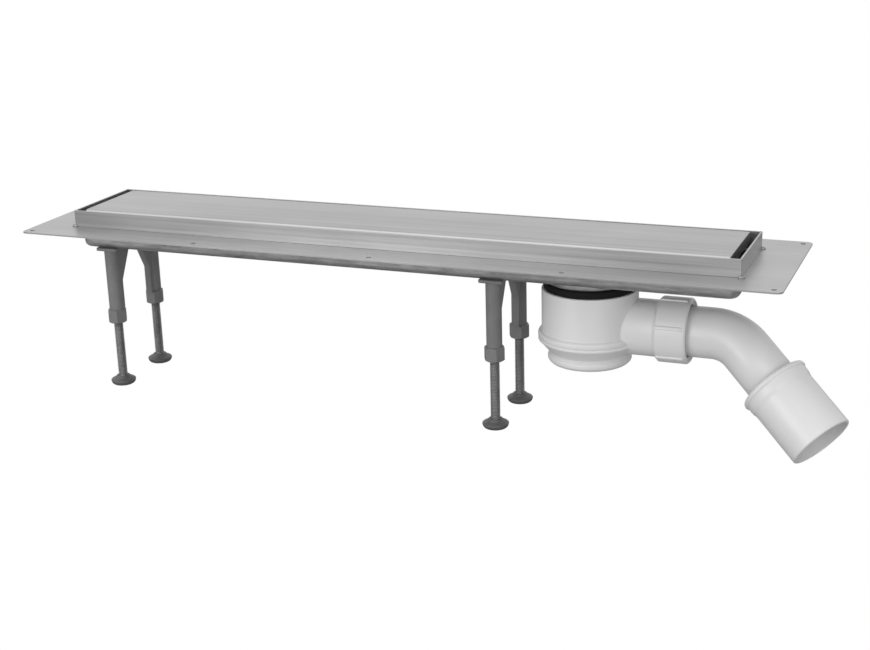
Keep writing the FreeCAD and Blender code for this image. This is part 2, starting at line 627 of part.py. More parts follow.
# Cleaning cap in the bottom of the neck
capBottom = "(%s + Size.capHeight)" % neckBottom
spigot = "(%s - Size.fitPlay)" % neckBore
cap = newBody("cleaning_cap", "Size.outletPlace", "0", trapTop)
revolve(cap, [
    ("0", "-" + capBottom),
    ("Size.neckRadius - Size.capBevel", "-" + capBottom),
    ("Size.neckRadius", "Size.capBevel - " + capBottom),
    ("Size.neckRadius", "-%s - Size.capLip" % neckBottom),
    ("Size.neckRadius - Size.capLip", "-" + neckBottom),
    (spigot, "-" + neckBottom),
    (spigot, "Size.capSpigot - " + neckBottom),
    (spigot + " - Size.capWall", "Size.capSpigot - " + neckBottom),
    (spigot + " - Size.capWall", "Size.capFloor - " + capBottom),
    ("0", "Size.capFloor - " + capBottom),
])

# Siphon cup, standing on the cap's floor
cup = newBody("siphon_cup", "Size.outletPlace", "0", "%s - %s + Size.capFloor" % (trapTop, capBottom))
revolve(cup, [
    ("0", "0"),
    ("Size.cupRadius - Size.cupEdge", "0"),
    ("Size.cupRadius", "Size.cupEdge"),
    ("Size.cupRadius", "Size.cupHeight"),
    ("Size.cupRadius - Size.cupWall", "Size.cupHeight"),
    ("Size.cupRadius - Size.cupWall", "Size.cupEdge + Size.cupWall / 2"),
    ("Size.cupRadius - Size.cupEdge - Size.cupWall / 2", "Size.cupWall"),
    ("0", "Size.cupWall"),
])

# Dip tube: its flange rests on the clamp ring, its collar seals in the throat with an O-ring
collarRadius = "(Size.throatRadius - Size.dipPlay)"
ringCentre = "(Size.throatRadius - Size.ringSection - Size.ringPress)"
ringSeat = "(%s - Size.ringSection - Size.ringPress)" % ringCentre
ringAbove = "(Size.ringSection + Size.ringPlay - Size.ringPlace)"
ringBelow = "(-Size.ringPlace - Size.ringSection - Size.ringPlay)"
dipBore = "(Size.dipRadius - Size.dipWall)"
dip = newBody("dip_tube", "Size.outletPlace", "0", clampTop)
revolve(dip, [
    ("Size.dipFlange", "Size.dipFlangeHeight"),
    ("Size.dipMouth", "Size.dipFlangeHeight"),
    ("Size.dipMouth", "Size.dipShoulder - Size.dipCollar"),
    (dipBore, "-Size.dipCollar - Size.dipShoulder + Size.dipWall / 2"),
    (dipBore, "-Size.dipCollar - Size.dipDepth"),
    ("Size.dipRadius", "-Size.dipCollar - Size.dipDepth"),
    ("Size.dipRadius", "-Size.dipCollar - Size.dipShoulder"),
    (collarRadius, "-Size.dipCollar"),
    (collarRadius, ringBelow),
    (ringSeat, ringBelow),
    (ringSeat, ringAbove),
    (collarRadius, ringAbove),
    (collarRadius, "0"),
    ("Size.dipFlange", "0"),
])
ring = newBody("dip_tube_ring", "Size.outletPlace", "0", clampTop)
ringSketch = sketchOn(ring, "XZ_Plane")
circle(ringSketch, "Size.ringSection", ringCentre, "-Size.ringPlace")
turned(ring, "Revolution", ringSketch)

# Hair strainer: a shallow basket with a knob, hanging in the dip tube's mouth
basketRadius = "(Size.dipMouth - Size.strainerPlay)"
strainer = newBody("hair_strainer", "Size.outletPlace", "0", clampTop + " + Size.dipFlangeHeight")
revolve(strainer, [
    ("0", "-Size.strainerDepth"),
    (basketRadius, "-Size.strainerDepth"),
    (basketRadius, "0"),
    (basketRadius + " + Size.strainerRim", "0"),
    (basketRadius + " + Size.strainerRim", "Size.strainerWall"),
    (basketRadius + " - Size.strainerWall", "Size.strainerWall"),
    (basketRadius + " - Size.strainerWall", "Size.strainerWall - Size.strainerDepth"),
    ("Size.strainerKnob", "Size.strainerWall - Size.strainerDepth"),
    ("Size.strainerKnob - Size.knobWaist", "Size.strainerWall - 4 * Size.knobWaist"),
    ("Size.strainerKnob", "Size.strainerWall - 2 * Size.knobWaist"),
    ("Size.strainerKnob - Size.knobWaist", "Size.strainerWall"),
    ("0", "Size.strainerWall"),
])
strainerHoles = sketchOn(strainer, "XY_Plane", "-Size.strainerDepth")
for count, reach in ((8, 0.4), (14, 0.75)):
    for i in range(count):
        circle(strainerHoles, "Size.strainerHole",
               "%s * %s * cos(%s)" % (basketRadius, reach, 360 / count * i),
               "%s * %s * sin(%s)" % (basketRadius, reach, 360 / count * i))
pocket(strainer, strainerHoles, "Size.strainerWall", True)

# Union nut on the stub's thread, with six grip ribs
stubHeight = "%s - Size.stubDrop" % trapTop
nutFar = "(Size.nutPlace + Size.nutLength)"
nutBore = "(Size.stubThread + Size.fitPlay)"
nut = newBody("union_nut", "Size.outletPlace", "0", stubHeight)
nut.Placement = FreeCAD.Placement(nut.Placement.Base, FreeCAD.Rotation(Vector(1, 0, 0), 1))
nut.setExpression("Placement.Rotation.Angle", "Size.nutTurn")
revolve(nut, [
    ("Size.nutPlace", nutBore),
    ("Size.nutPlace", "Size.nutRadius - Size.nutEdge"),
    ("Size.nutPlace + Size.nutEdge", "Size.nutRadius"),
    (nutFar + " - Size.nutEdge", "Size.nutRadius"),
    (nutFar, "Size.nutRadius - Size.nutEdge"),
    (nutFar, "Size.nutRadius - Size.nutEdge - Size.nutRim"),
    (nutFar + " - Size.nutRimDepth", "Size.nutRadius - Size.nutEdge - Size.nutRim"),
    (nutFar + " - Size.nutRimDepth", pipeBore + " + Size.nutMouth"),
    (nutFar + " - Size.nutEnd", pipeBore + " + Size.nutMouth"),
    (nutFar + " - Size.nutEnd", nutBore),
], axis="H_Axis")
nutRibSketch = sketchOn(nut, "YZ_Plane", "Size.nutPlace + Size.nutEdge")
rectangle(nutRibSketch, "Size.nutRibWidth", "Size.nutRibRoot + Size.nutRib", "0",
          "Size.nutRadius + (Size.nutRib - Size.nutRibRoot) / 2")
nutRib = pad(nut, nutRibSketch, "Size.nutLength - 2 * Size.nutEdge - Size.nutRibRoot")
around(nut, nutRib, 6, "X_Axis")

sealBore = "(Size.pipeRadius + Size.sealPress)"
sealRim = "(Size.stubThread - Size.unionSealPlay)"
unionSeal = newBody("union_seal", "Size.outletPlace", "0", stubHeight)
revolve(unionSeal, [
    ("Size.stubReach", sealBore),
    ("Size.stubReach", sealRim),
    (nutFar + " - Size.nutEnd - Size.unionSealEdge", sealRim),
    (nutFar + " - Size.nutEnd", sealRim + " - Size.unionSealEdge"),
    (nutFar + " - Size.nutEnd", sealBore),
], axis="H_Axis")

# Outlet bend: one pipe, straight into the stub, round the bend and down the arm
bend = newBody("outlet_bend", "Size.outletPlace", "0", stubHeight)
bend.Placement = FreeCAD.Placement(bend.Placement.Base, FreeCAD.Rotation(Vector(-1, 0, 0), 1))
bend.setExpression("Placement.Rotation.Angle", "Size.bendRoll")
pipeStart = "(Size.stubReach - Size.pipeInsert)"
turnX = "(Size.bendPlace + Size.bendRadius * sin(Size.bendAngle))"
turnZ = "(Size.bendRadius * cos(Size.bendAngle) - Size.bendRadius)"
armX = "(%s + Size.armLength * cos(Size.bendAngle))" % turnX
armZ = "(%s - Size.armLength * sin(Size.bendAngle))" % turnZ
route = sketchOn(bend, "XZ_Plane")
for startX, startZ, endX, endZ in ((pipeStart, "0", "Size.bendPlace", "0"), (turnX, turnZ, armX, armZ)):
    start = Vector(size(startX), size(startZ), 0)
    end = Vector(size(endX), size(endZ), 0)
    run = route.addGeometry(Part.LineSegment(start, end), False)
    tie(route, run, 1, startX, startZ)
    tie(route, run, 2, endX, endZ)
turnCentre = Vector(size("Size.bendPlace"), -size("Size.bendRadius"), 0)
turnCircle = Part.Circle(turnCentre, Vector(0, 0, 1), size("Size.bendRadius"))
turnStart = math.radians(90 - size("Size.bendAngle"))
turnItem = route.addGeometry(Part.ArcOfCircle(turnCircle, turnStart, math.pi / 2), False)
route.addConstraint(Sketcher.Constraint("Coincident", turnItem, 1, 1, 1))
route.addConstraint(Sketcher.Constraint("Coincident", turnItem, 2, 0, 2))
bound(route, Sketcher.Constraint("Radius", turnItem, size("Size.bendRadius")), "Size.bendRadius")
route.Visibility = False
doc.recompute()
for kind, radius in (("AdditivePipe", "Size.pipeRadius"), ("SubtractivePipe", "Size.pipeRadius - Size.pipeWall")):
    section = sketchOn(bend, "YZ_Plane", pipeStart)
    circle(section, radius)
    pipe = bend.newObject("PartDesign::" + kind, bend.Name + kind)
    pipe.Profile = section
    pipe.Spine = (route, ["Edge1", "Edge3", "Edge2"])
    doc.recompute()

# Adapter on the end of the arm: socket with a lip, then a wider open end
armTurn = FreeCAD.Rotation(Vector(1, 0, 0), -size("Size.bendRoll"))
armSlope = FreeCAD.Rotation(Vector(0, 1, 0), 90 + size("Size.bendAngle"))
armAlong = armSlope.multVec(Vector(0, 0, size("Size.adapterPlace")))
armStart = armTurn.multVec(Vector(size(turnX), 0, size(turnZ)) + armAlong)
stubOrigin = Vector(size("Size.outletPlace"), 0, size(stubHeight))
armPlacement = FreeCAD.Placement(stubOrigin + armStart, armTurn * armSlope)


def placeOnArm(body):
    for axis in "xyz":
        body.setExpression("Placement.Base." + axis, None)
    body.Placement = armPlacement


openBore = "(Size.adapterRadius - Size.adapterWall)"
lipGroove = "(Size.adapterLip - Size.adapterWall - Size.lipSealDepth)"
lipSealFar = "(Size.adapterLipLength - Size.lipSealEnd)"
pipeInside = "(Size.pipeRadius - Size.pipeWall)"
adapter = newBody("outlet_adapter")
placeOnArm(adapter)
revolve(adapter, [
    (pipeBore, "0"),
    ("Size.adapterLip - Size.lipEdge", "0"),
    ("Size.adapterLip", "Size.lipEdge"),
    ("Size.adapterLip", "Size.adapterLipLength - Size.lipEdge"),
    ("Size.adapterRadius", "Size.adapterLipLength"),
    ("Size.adapterRadius", "Size.adapterLength - Size.adapterEdge"),
    ("Size.adapterRadius - Size.adapterEdge", "Size.adapterLength"),
    (openBore, "Size.adapterLength"),
    (openBore, "Size.adapterSocket + Size.adapterStop + Size.adapterSlope"),
    (pipeInside, "Size.adapterSocket + Size.adapterStop"),
    (pipeInside, "Size.adapterSocket"),
    (pipeBore, "Size.adapterSocket"),
    (pipeBore, lipSealFar),
    (lipGroove, lipSealFar),
    (lipGroove, "Size.lipSealEnd"),
    (pipeBore, "Size.lipSealEnd"),
])
adapterSeal = newBody("adapter_seal")
placeOnArm(adapterSeal)
revolve(adapterSeal, [
    (sealBore, "Size.lipSealEnd"),
    (lipGroove, "Size.lipSealEnd"),
    (lipGroove, lipSealFar),
    ("Size.pipeRadius + Size.lipSealFin", lipSealFar),
    (sealBore, lipSealFar + " - Size.lipSealFin"),
])

# Leg brackets: one moulding each, with a top plate, two sleeves with hexagonal collars for the
# captive nuts, and an arch web that joins the sleeves to the plate
collarTop = "(Size.legDrop - Size.collarHeight)"
webTip = "(Size.legSpread - Size.webLength)"
ribInside = "(Size.legSpread - Size.ribDepth)"
collarCorner = "(Size.collarAcross / 2 / cos(30))"
for label, place in (("leg_bracket_left", "Size.legLeft"), ("leg_bracket_right", "Size.legRight")):
    bracket = newBody(label, place, "0", "-Size.basinDepth")
    plateSketch = sketchOn(bracket, "XY_Plane")
    roundedRectangle(plateSketch, "Size.plateLength", "2 * (Size.legSpread + Size.plateOverhang)",
                     "Size.plateCorner")
    pad(bracket, plateSketch, "Size.plateThickness", True)
    sleeveSketch = sketchOn(bracket, "XY_Plane", "-Size.plateThickness")
    collarSketch = sketchOn(bracket, "XY_Plane", "-" + collarTop)
    for side in (-1, 1):
        circle(sleeveSketch, "Size.sleeveRadius", "0", "%d * Size.legSpread" % side)
        hexagon(collarSketch, "Size.collarAcross", "0", "%d * Size.legSpread" % side)
    pad(bracket, sleeveSketch, collarTop + " - Size.plateThickness", True)
    pad(bracket, collarSketch, "Size.collarHeight", True)
    for side in (-1, 1):
        webSketch = sketchOn(bracket, "YZ_Plane", "-Size.webThickness / 2")
        outline(webSketch, [
            ("%d * Size.legSpread" % side, "-Size.plateThickness / 2"),
            ("%d * Size.legSpread" % side, "-%s - 1" % collarTop),
            ("%d * %s" % (side, ribInside), "-%s - 1" % collarTop),
            ("%d * %s" % (side, ribInside), "-Size.plateThickness - Size.webReach"),
            ("%d * %s" % (side, webTip), "-Size.plateThickness"),
            ("%d * %s" % (side, webTip), "-Size.plateThickness / 2"),
        ])
        pad(bracket, webSketch, "Size.webThickness")
        # Collar corners turned off in a cone at both ends, as on a nut
        for end, inward in ((collarTop, -1), ("Size.legDrop", 1)):
            coneSketch = sketchOn(bracket, "XZ_Plane", "%d * Size.legSpread" % -side)
            outline(coneSketch, [
                (collarCorner + " - Size.collarChamfer", "-" + end),
                (collarCorner + " + 1", "-" + end),
                (collarCorner + " + 1", "-%s + %d * (Size.collarChamfer + 1)" % (end, inward)),
            ])
            turned(bracket, "Groove", coneSketch)
    boreSketch = sketchOn(bracket, "XY_Plane", "-Size.legDrop")
    pocketSketch = sketchOn(bracket, "XY_Plane", "-Size.legDrop")
    holeSketch = sketchOn(bracket, "XY_Plane")
    for side in (-1, 1):
        circle(boreSketch, "Size.sleeveBore", "0", "%d * Size.legSpread" % side)
        hexagon(pocketSketch, "Size.footNutAcross + 2 * Size.footNutPocket", "0", "%d * Size.legSpread" % side)
        circle(holeSketch, "Size.studHoleRadius", "%d * Size.weldStudSpacing / 2" % side, "0")
    pocket(bracket, boreSketch, "Size.legDrop", True)
    pocket(bracket, pocketSketch, "Size.footNutRecess + Size.footNutHeight", True)
    pocket(bracket, holeSketch, "Size.plateThickness")

# Weld studs under the basin, with a washer and a nut on each, and the captive nuts of the legs
weldStuds = newBody("weld_studs", z="-Size.basinDepth")
washers = newBody("bracket_washers", z="-Size.basinDepth - Size.plateThickness")
smallNuts = newBody("bracket_nuts", z="-Size.basinDepth - Size.plateThickness - Size.washerThickness")
captives = newBody("captive_nuts", z="-Size.basinDepth - Size.legDrop + Size.footNutRecess")
weldStudSketch = sketchOn(weldStuds, "XY_Plane")
washerSketch = sketchOn(washers, "XY_Plane")
smallNutSketch = sketchOn(smallNuts, "XY_Plane")
captiveSketch = sketchOn(captives, "XY_Plane")
for place in ("Size.legLeft", "Size.legRight"):
    for side in (-1, 1):
        across = "%s + %d * Size.weldStudSpacing / 2" % (place, side)
        circle(weldStudSketch, "Size.weldStudRadius", across)
        circle(washerSketch, "Size.washerRadius", across)
        circle(washerSketch, "Size.studHoleRadius", across)
        hexagon(smallNutSketch, "Size.smallNutAcross", across)
        circle(smallNutSketch, "Size.weldStudRadius + Size.studPlay", across)
        hexagon(captiveSketch, "Size.footNutAcross", place, "%d * Size.legSpread" % side)
        circle(captiveSketch, "Size.studRadius + Size.studPlay", place, "%d * Size.legSpread" % side)
pad(weldStuds, weldStudSketch, "Size.weldStudLength", True)
pad(washers, washerSketch, "Size.washerThickness", True)
pad(smallNuts, smallNutSketch, "Size.smallNutHeight", True)
pad(captives, captiveSketch, "Size.footNutHeight")

# Four legs: a threaded stud that turns in the captive nut and in the socket of its foot disc
socket = "(Size.footHeight - Size.studSocket)"
for end, place in (("left", "Size.legLeft"), ("right", "Size.legRight")):
    for side, across in (("front", "-Size.legSpread"), ("back", "Size.legSpread")):
        stud = newBody("leg_stud_%s_%s" % (side, end), place, across, "-Size.floorDrop + " + socket)
        revolve(stud, [
            ("0", "0"),
            ("Size.studRadius - Size.studChamfer", "0"),
            ("Size.studRadius", "Size.studChamfer"),
            ("Size.studRadius", "Size.studLength - Size.studChamfer"),
            ("Size.studRadius - Size.studChamfer", "Size.studLength"),
            ("0", "Size.studLength"),
        ])
        foot = newBody("foot_%s_%s" % (side, end), place, across, "-Size.floorDrop")
        revolve(foot, [
            ("0", "0"),
            ("Size.footBase", "0"),
            ("Size.footRadius - Size.footEdge", "Size.footRim / 3"),
            ("Size.footRadius", "Size.footRim"),
            ("Size.footRadius - Size.footBrow", "Size.footRim + Size.footBrow"),
            ("Size.footHub + Size.footSlope", "Size.footHeight - Size.footHubHeight"),
            ("Size.footHub", "Size.footHeight"),
            ("Size.studRadius + Size.studPlay", "Size.footHeight"),
            ("Size.studRadius + Size.studPlay", socket),
            ("0", socket),
        ])

# Every object has to be sound before anything is written
doc.recompute()
for item in doc.Objects:
    if "Invalid" in item.State or "Error" in item.State:
        raise ValueError("%s did not recompute" % item.Name)
for body in bodies:
    if body.Shape.isNull() or not body.Shape.isValid():
        raise ValueError("%s has no sound shape" % body.Label)
    print(body.Label, len(body.Shape.Solids), round(body.Shape.Volume / 1000, 2), "cm3")

os.makedirs("parts", exist_ok=True)
for body in bodies:
    body.Shape.exportStep("parts/" + body.Label + ".step")
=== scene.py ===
import bpy
import bmesh
import math
from mathutils import Matrix, Vector


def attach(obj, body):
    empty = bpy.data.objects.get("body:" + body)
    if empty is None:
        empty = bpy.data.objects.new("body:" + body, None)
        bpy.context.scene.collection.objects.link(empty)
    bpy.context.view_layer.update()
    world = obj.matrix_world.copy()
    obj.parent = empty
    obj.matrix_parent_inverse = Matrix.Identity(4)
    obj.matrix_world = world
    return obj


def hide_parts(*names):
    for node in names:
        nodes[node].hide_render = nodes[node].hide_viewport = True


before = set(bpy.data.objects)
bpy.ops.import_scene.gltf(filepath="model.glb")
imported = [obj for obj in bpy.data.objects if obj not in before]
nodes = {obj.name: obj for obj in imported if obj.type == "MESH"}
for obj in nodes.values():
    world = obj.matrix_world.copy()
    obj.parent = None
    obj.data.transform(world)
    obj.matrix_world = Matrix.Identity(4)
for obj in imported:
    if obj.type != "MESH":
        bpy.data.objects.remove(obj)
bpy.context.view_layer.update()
mm = .001
print("frame loaded:", len(nodes), "solids")


# ---- shader maths: a socket that takes + - * / like a number

class Field:
    def __init__(self, finish, socket):
        self.finish = finish
        self.socket = socket

    def maths(self, operation, first, second=None, clamp=False):
        inputs = {0: first} if second is None else {0: first, 1: second}
        return self.finish.node("ShaderNodeMath", {"operation": operation, "use_clamp": clamp}, inputs)

    def __add__(self, other):
        return self.maths("ADD", self, other)

    def __sub__(self, other):
        return self.maths("SUBTRACT", self, other)

    def __rsub__(self, other):
        return self.maths("SUBTRACT", other, self)

    def __mul__(self, other):
        return self.maths("MULTIPLY", self, other)

    def __truediv__(self, other):
        return self.maths("DIVIDE", self, other)

    def __abs__(self):
        return self.maths("ABSOLUTE", self)

    def clamped(self):
        return self.maths("ADD", self, 0, clamp=True)

    __radd__ = __add__
    __rmul__ = __mul__


class Finish:
    def __init__(self, name, metallic=0, roughness=.5):
        self.material = bpy.data.materials.new(name)
        self.material.use_nodes = True
        self.tree = self.material.node_tree
        self.shader = self.tree.nodes["Principled BSDF"]
        self.shader.inputs["Metallic"].default_value = metallic
        self.shader.inputs["Roughness"].default_value = roughness

    def node(self, kind, settings=None, inputs=None, output=0):
        made = self.tree.nodes.new(kind)
        for name, value in (settings or {}).items():
            if name == "stops":
                for stop, (place, grey) in zip(made.color_ramp.elements, value):
                    stop.position = place
                    stop.color = (grey, grey, grey, 1)
            else:
                setattr(made, name, value)
        for name, value in (inputs or {}).items():
            self.join(made.inputs[name], value)
        return Field(self, made.outputs[output])

    def join(self, socket, value):
        if isinstance(value, Field):
            self.tree.links.new(value.socket, socket)
        else:
            socket.default_value = value

    def feed(self, name, value):
        self.join(self.shader.inputs[name], value)

    # noise in the piece's own coordinates; scale is per metre and may differ along x, y and z
    def grain(self, scale, detail=2, roughness=.5):
        where = self.node("ShaderNodeTexCoord", output="Object")
        stretched = self.node("ShaderNodeMapping", inputs={"Vector": where, "Scale": scale})
        return self.node("ShaderNodeTexNoise", inputs={
            "Vector": stretched, "Scale": 1, "Detail": detail, "Roughness": roughness})

    def greys(self, field, dark, light):
        shades = [(tone, tone, tone, 1) for tone in (dark, light)]
        return self.node("ShaderNodeMix", {"data_type": "RGBA"},
                         {"Factor": field, 6: shades[0], 7: shades[1]}, output=2)

    def relief(self, field, distance, strength=1):
        bump = self.node("ShaderNodeBump", inputs={
            "Height": field, "Distance": distance, "Strength": strength})
        self.feed("Normal", bump)


# ---- finishes

steelLook = {"dark": .34, "light": .52, "roughness": .38, "streak": .14, "contrast": 2.8,
             "relief": .00001}


# brushed lengthwise: streaks along x, fine across y and z, with soft clouds from handling
def brushedSteel(name, along=(3, 420, 420), tone=1.0):
    finish = Finish(name, metallic=1)
    streaks = finish.grain(along, detail=6, roughness=.7)
    clouds = finish.grain((9, 26, 26), detail=2)
    shade = (streaks * .72 + clouds * .28 - .5) * steelLook["contrast"] + .5
    finish.feed("Base Color", finish.greys(shade.clamped(), steelLook["dark"] * tone, steelLook["light"] * tone))
    finish.feed("Roughness", streaks * steelLook["streak"] + clouds * .08 + steelLook["roughness"] - .1)
    finish.relief(streaks, steelLook["relief"])
    return finish.material


# greys of the basin under the flange: its dull pressed finish, darkened further as painted shade
pressAndShadeLook = {"dark": .24, "light": .52, "edge": -.9, "soft": 1.1}


# the channel: its flange is brushed; below the sheet's edge its basin turns a darker grey, partly the dull grey of the
# press and partly painted shade under the flange
def pressedSteelWithShade(name):
    finish = Finish(name, metallic=1)
    streaks = finish.grain((3, 420, 420), detail=6, roughness=.7)
    clouds = finish.grain((9, 26, 26), detail=2)
    drawn = finish.grain((50, 260, 300), detail=5, roughness=.7)
    where = finish.node("ShaderNodeTexCoord", output="Object")
    height = finish.node("ShaderNodeSeparateXYZ", inputs={"Vector": where}, output=2)
    # the mask rises below the flange's top: in the colour it paints shade under the flange, in the roughness it makes
    # the pressed finish duller
    shadeAndPressBelow = (height * (-1 / mm / pressAndShadeLook["soft"]) + pressAndShadeLook["edge"]).clamped()
    shade = ((streaks * .72 + clouds * .28 - .5) * steelLook["contrast"] + .5).clamped()
    brushed = finish.greys(shade, steelLook["dark"], steelLook["light"])
    dullAndShaded = finish.greys(((drawn - .5) * 2.4 + .5).clamped(), pressAndShadeLook["dark"], pressAndShadeLook["light"])
    finish.feed("Base Color", finish.node("ShaderNodeMix", {"data_type": "RGBA"},
                                          {"Factor": shadeAndPressBelow, 6: brushed, 7: dullAndShaded}, output=2))
    finish.feed("Roughness", streaks * steelLook["streak"] + shadeAndPressBelow * .12 + steelLook["roughness"] - .06)
    finish.relief(streaks, steelLook["relief"])
    return finish.material


plasticLook = {"dark": .75, "light": .80, "roughness": .34, "relief": .000002}


def whitePlastic(name):
    finish = Finish(name)
    clouds = finish.grain((34, 34, 34), detail=3)
    skin = finish.grain((420, 420, 420), detail=2)
    finish.feed("Base Color", finish.greys(clouds, plasticLook["dark"], plasticLook["light"]))
    finish.feed("Roughness", clouds * .14 + skin * .06 + plasticLook["roughness"] - .1)
    finish.relief(skin, plasticLook["relief"])
    return finish.material


bracketLook = {"dark": .15, "light": .23, "roughness": .46, "relief": .00006}


def greyPlastic(name, tone=1.0):
    finish = Finish(name)
    clouds = finish.grain((60, 60, 60), detail=4)
    grit = finish.grain((1500, 1500, 1500), detail=1)
    shade = (clouds * .6 + grit * .4 - .5) * 1.8 + .5
    finish.feed("Base Color", finish.greys(shade.clamped(), bracketLook["dark"] * tone, bracketLook["light"] * tone))
    finish.feed("Roughness", clouds * .16 + bracketLook["roughness"] - .08)
    finish.relief(grit, bracketLook["relief"])
    return finish.material


def blackRubber(name):
    finish = Finish(name)
    clouds = finish.grain((90, 90, 90), detail=3)
    finish.feed("Base Color", finish.greys(clouds, .003, .009))
    finish.feed("Roughness", clouds * .2 + .6)
    finish.feed("Specular IOR Level", .2)
    finish.relief(finish.grain((900, 900, 900)), .00004)
    return finish.material


# zinc coat gone dull, mottled in spots and bands
def zincSteel(name):
    finish = Finish(name, metallic=.75)
    spots = finish.grain((240, 240, 240), detail=5, roughness=.65)
    bands = finish.grain((70, 70, 30), detail=2)
    shade = (spots * .6 + bands * .4 - .5) * 2.2 + .5
    finish.feed("Base Color", finish.greys(shade.clamped(), .13, .27))
    finish.feed("Roughness", spots * .25 + .34)
    finish.relief(spots, .00003)
    return finish.material


# dry weld: darker, pitted metal
def weldMetal(name):
    finish = Finish(name, metallic=1)
    pits = finish.grain((700, 700, 700), detail=3)
    finish.feed("Base Color", finish.greys(pits, .16, .34))
    finish.feed("Roughness", pits * .2 + .3)
    finish.relief(pits, .0001)
    return finish.material


steelSheet = brushedSteel("steelSheet")
# the channel's finish, with painted shade on the basin below the flange
steelChannel = pressedSteelWithShade("steelChannel")
steelCover = brushedSteel("steelCover", along=(2.5, 520, 520), tone=.92)
steelFrame = brushedSteel("steelFrame", along=(3.5, 460, 460), tone=.93)
plastic = whitePlastic("whitePlastic")
grey = greyPlastic("greyPlastic")
footGrey = greyPlastic("footGrey", tone=.52)
rubber = blackRubber("blackRubber")
zinc = zincSteel("zincSteel")
weld = weldMetal("weldMetal")
print("finishes made")


# ---- workshop helpers

def place(x=0, y=0, z=0):
    return Matrix.Translation(Vector((x, y, z)) * mm)


def vertsOf(result, key="geom"):
    return [item for item in result[key] if isinstance(item, bmesh.types.BMVert)]


def edgesOf(result, key="geom"):
    return [item for item in result[key] if isinstance(item, bmesh.types.BMEdge)]


def level(edges):
    return [edge for edge in edges if abs(edge.verts[0].co.z - edge.verts[1].co.z) < 1e-6]


# the faces have to agree on their outside before an edge is rounded
def soften(bm, items, offset, kind="EDGES", segments=3):
    if bm.faces:
        bmesh.ops.recalc_face_normals(bm, faces=bm.faces)
    return bmesh.ops.bevel(bm, geom=items, offset=offset * mm, affect=kind, segments=segments,
                           profile=.5, material=-1, clamp_overlap=True)


def move(bm, items, x=0, y=0, z=0):
    bmesh.ops.translate(bm, vec=Vector((x, y, z)) * mm, verts=items)


# an outline in the xz plane, (across, height, rounding), turned round z; edges on the axis are left out
def turnOutline(bm, corners, steps=96, roundSteps=4):
    verts = [bm.verts.new((x * mm, 0, z * mm)) for x, z, rounding in corners]
    for first, second in zip(verts, verts[1:] + verts[:1]):
        if first.co.x > 1e-7 or second.co.x > 1e-7:
            bm.edges.new((first, second))
    for rounding in sorted({corner[2] for corner in corners if corner[2]}):
        picked = [vert for vert, corner in zip(verts, corners) if corner[2] == rounding]
        soften(bm, picked, rounding, "VERTICES", roundSteps)
    bmesh.ops.spin(bm, geom=list(bm.edges), cent=(0, 0, 0), axis=(0, 0, 1), dvec=(0, 0, 0),
                   angle=math.tau, steps=steps, use_merge=True)
    bmesh.ops.remove_doubles(bm, verts=bm.verts, dist=1e-6)
    bmesh.ops.recalc_face_normals(bm, faces=bm.faces)
    return bm


def turned(corners, steps=96, roundSteps=4, where=None):
    bm = turnOutline(bmesh.new(), corners, steps, roundSteps)
    if where:
        bmesh.ops.transform(bm, matrix=where, verts=bm.verts)
    return bm


# a flat plate outline with rounded corners, as one face
def roundedPlate(bm, length, width, corner, height=0, x=0, y=0, segments=6):
    made = bmesh.ops.create_grid(bm, x_segments=1, y_segments=1, size=.5, matrix=place(
        x, y, height) @ Matrix.Diagonal((length * mm, width * mm, 1, 1)))
    if corner:
        made = soften(bm, made["verts"], corner, "VERTICES", segments)
    return made["verts"][0].link_faces[0]


def ring(bm, radius, height, x=0, y=0, segments=64):
    made = bmesh.ops.create_circle(bm, cap_ends=False, radius=radius * mm, segments=segments,
                                   matrix=place(x, y, height))
    return list({edge for vert in made["verts"] for edge in vert.link_edges})


# a face made thick: the first face stays as the far side
def thicken(bm, faces, height):
    raised = bmesh.ops.extrude_face_region(bm, geom=faces, use_keep_orig=True)
    move(bm, vertsOf(raised), z=height)
    bmesh.ops.recalc_face_normals(bm, faces=bm.faces)


def rod(radius, bottom, top, x=0, y=0, segments=48):
    bm = bmesh.new()
    made = bmesh.ops.create_circle(bm, cap_ends=True, radius=radius * mm, segments=segments,
                                   matrix=place(x, y, bottom))
    thicken(bm, made["verts"][0].link_faces[:], top - bottom)
    return bm


# hexagonal bar, corners along x, turned down to a cone at both ends and bored if asked
def hexBar(across, bottom, top, chamfer, x=0, y=0, bore=0):
    reach = across / 2 / math.cos(math.radians(30))
    bar = bmesh.new()
    bmesh.ops.create_circle(bar, cap_ends=True, radius=reach * mm, segments=6,
                            matrix=place(x, y, bottom) @ Matrix.Rotation(math.radians(90), 4, "Z"))
    thicken(bar, list(bar.faces), top - bottom)
    flat = reach - chamfer
    drop = chamfer * .7
    blank = turned([(bore, bottom, 0), (flat, bottom, 0), (reach + .05, bottom + drop, 0),
                    (reach + .05, top - drop, 0), (flat, top, 0), (bore, top, 0)],
                   steps=72, where=place(x, y))
    return combine(bar, [blank], "INTERSECT")


def asObject(bm, name):
    mesh = bpy.data.meshes.new(name)
    bm.to_mesh(mesh)
    bm.free()
    made = bpy.data.objects.new(name, mesh)
    bpy.context.scene.collection.objects.link(made)
    return made


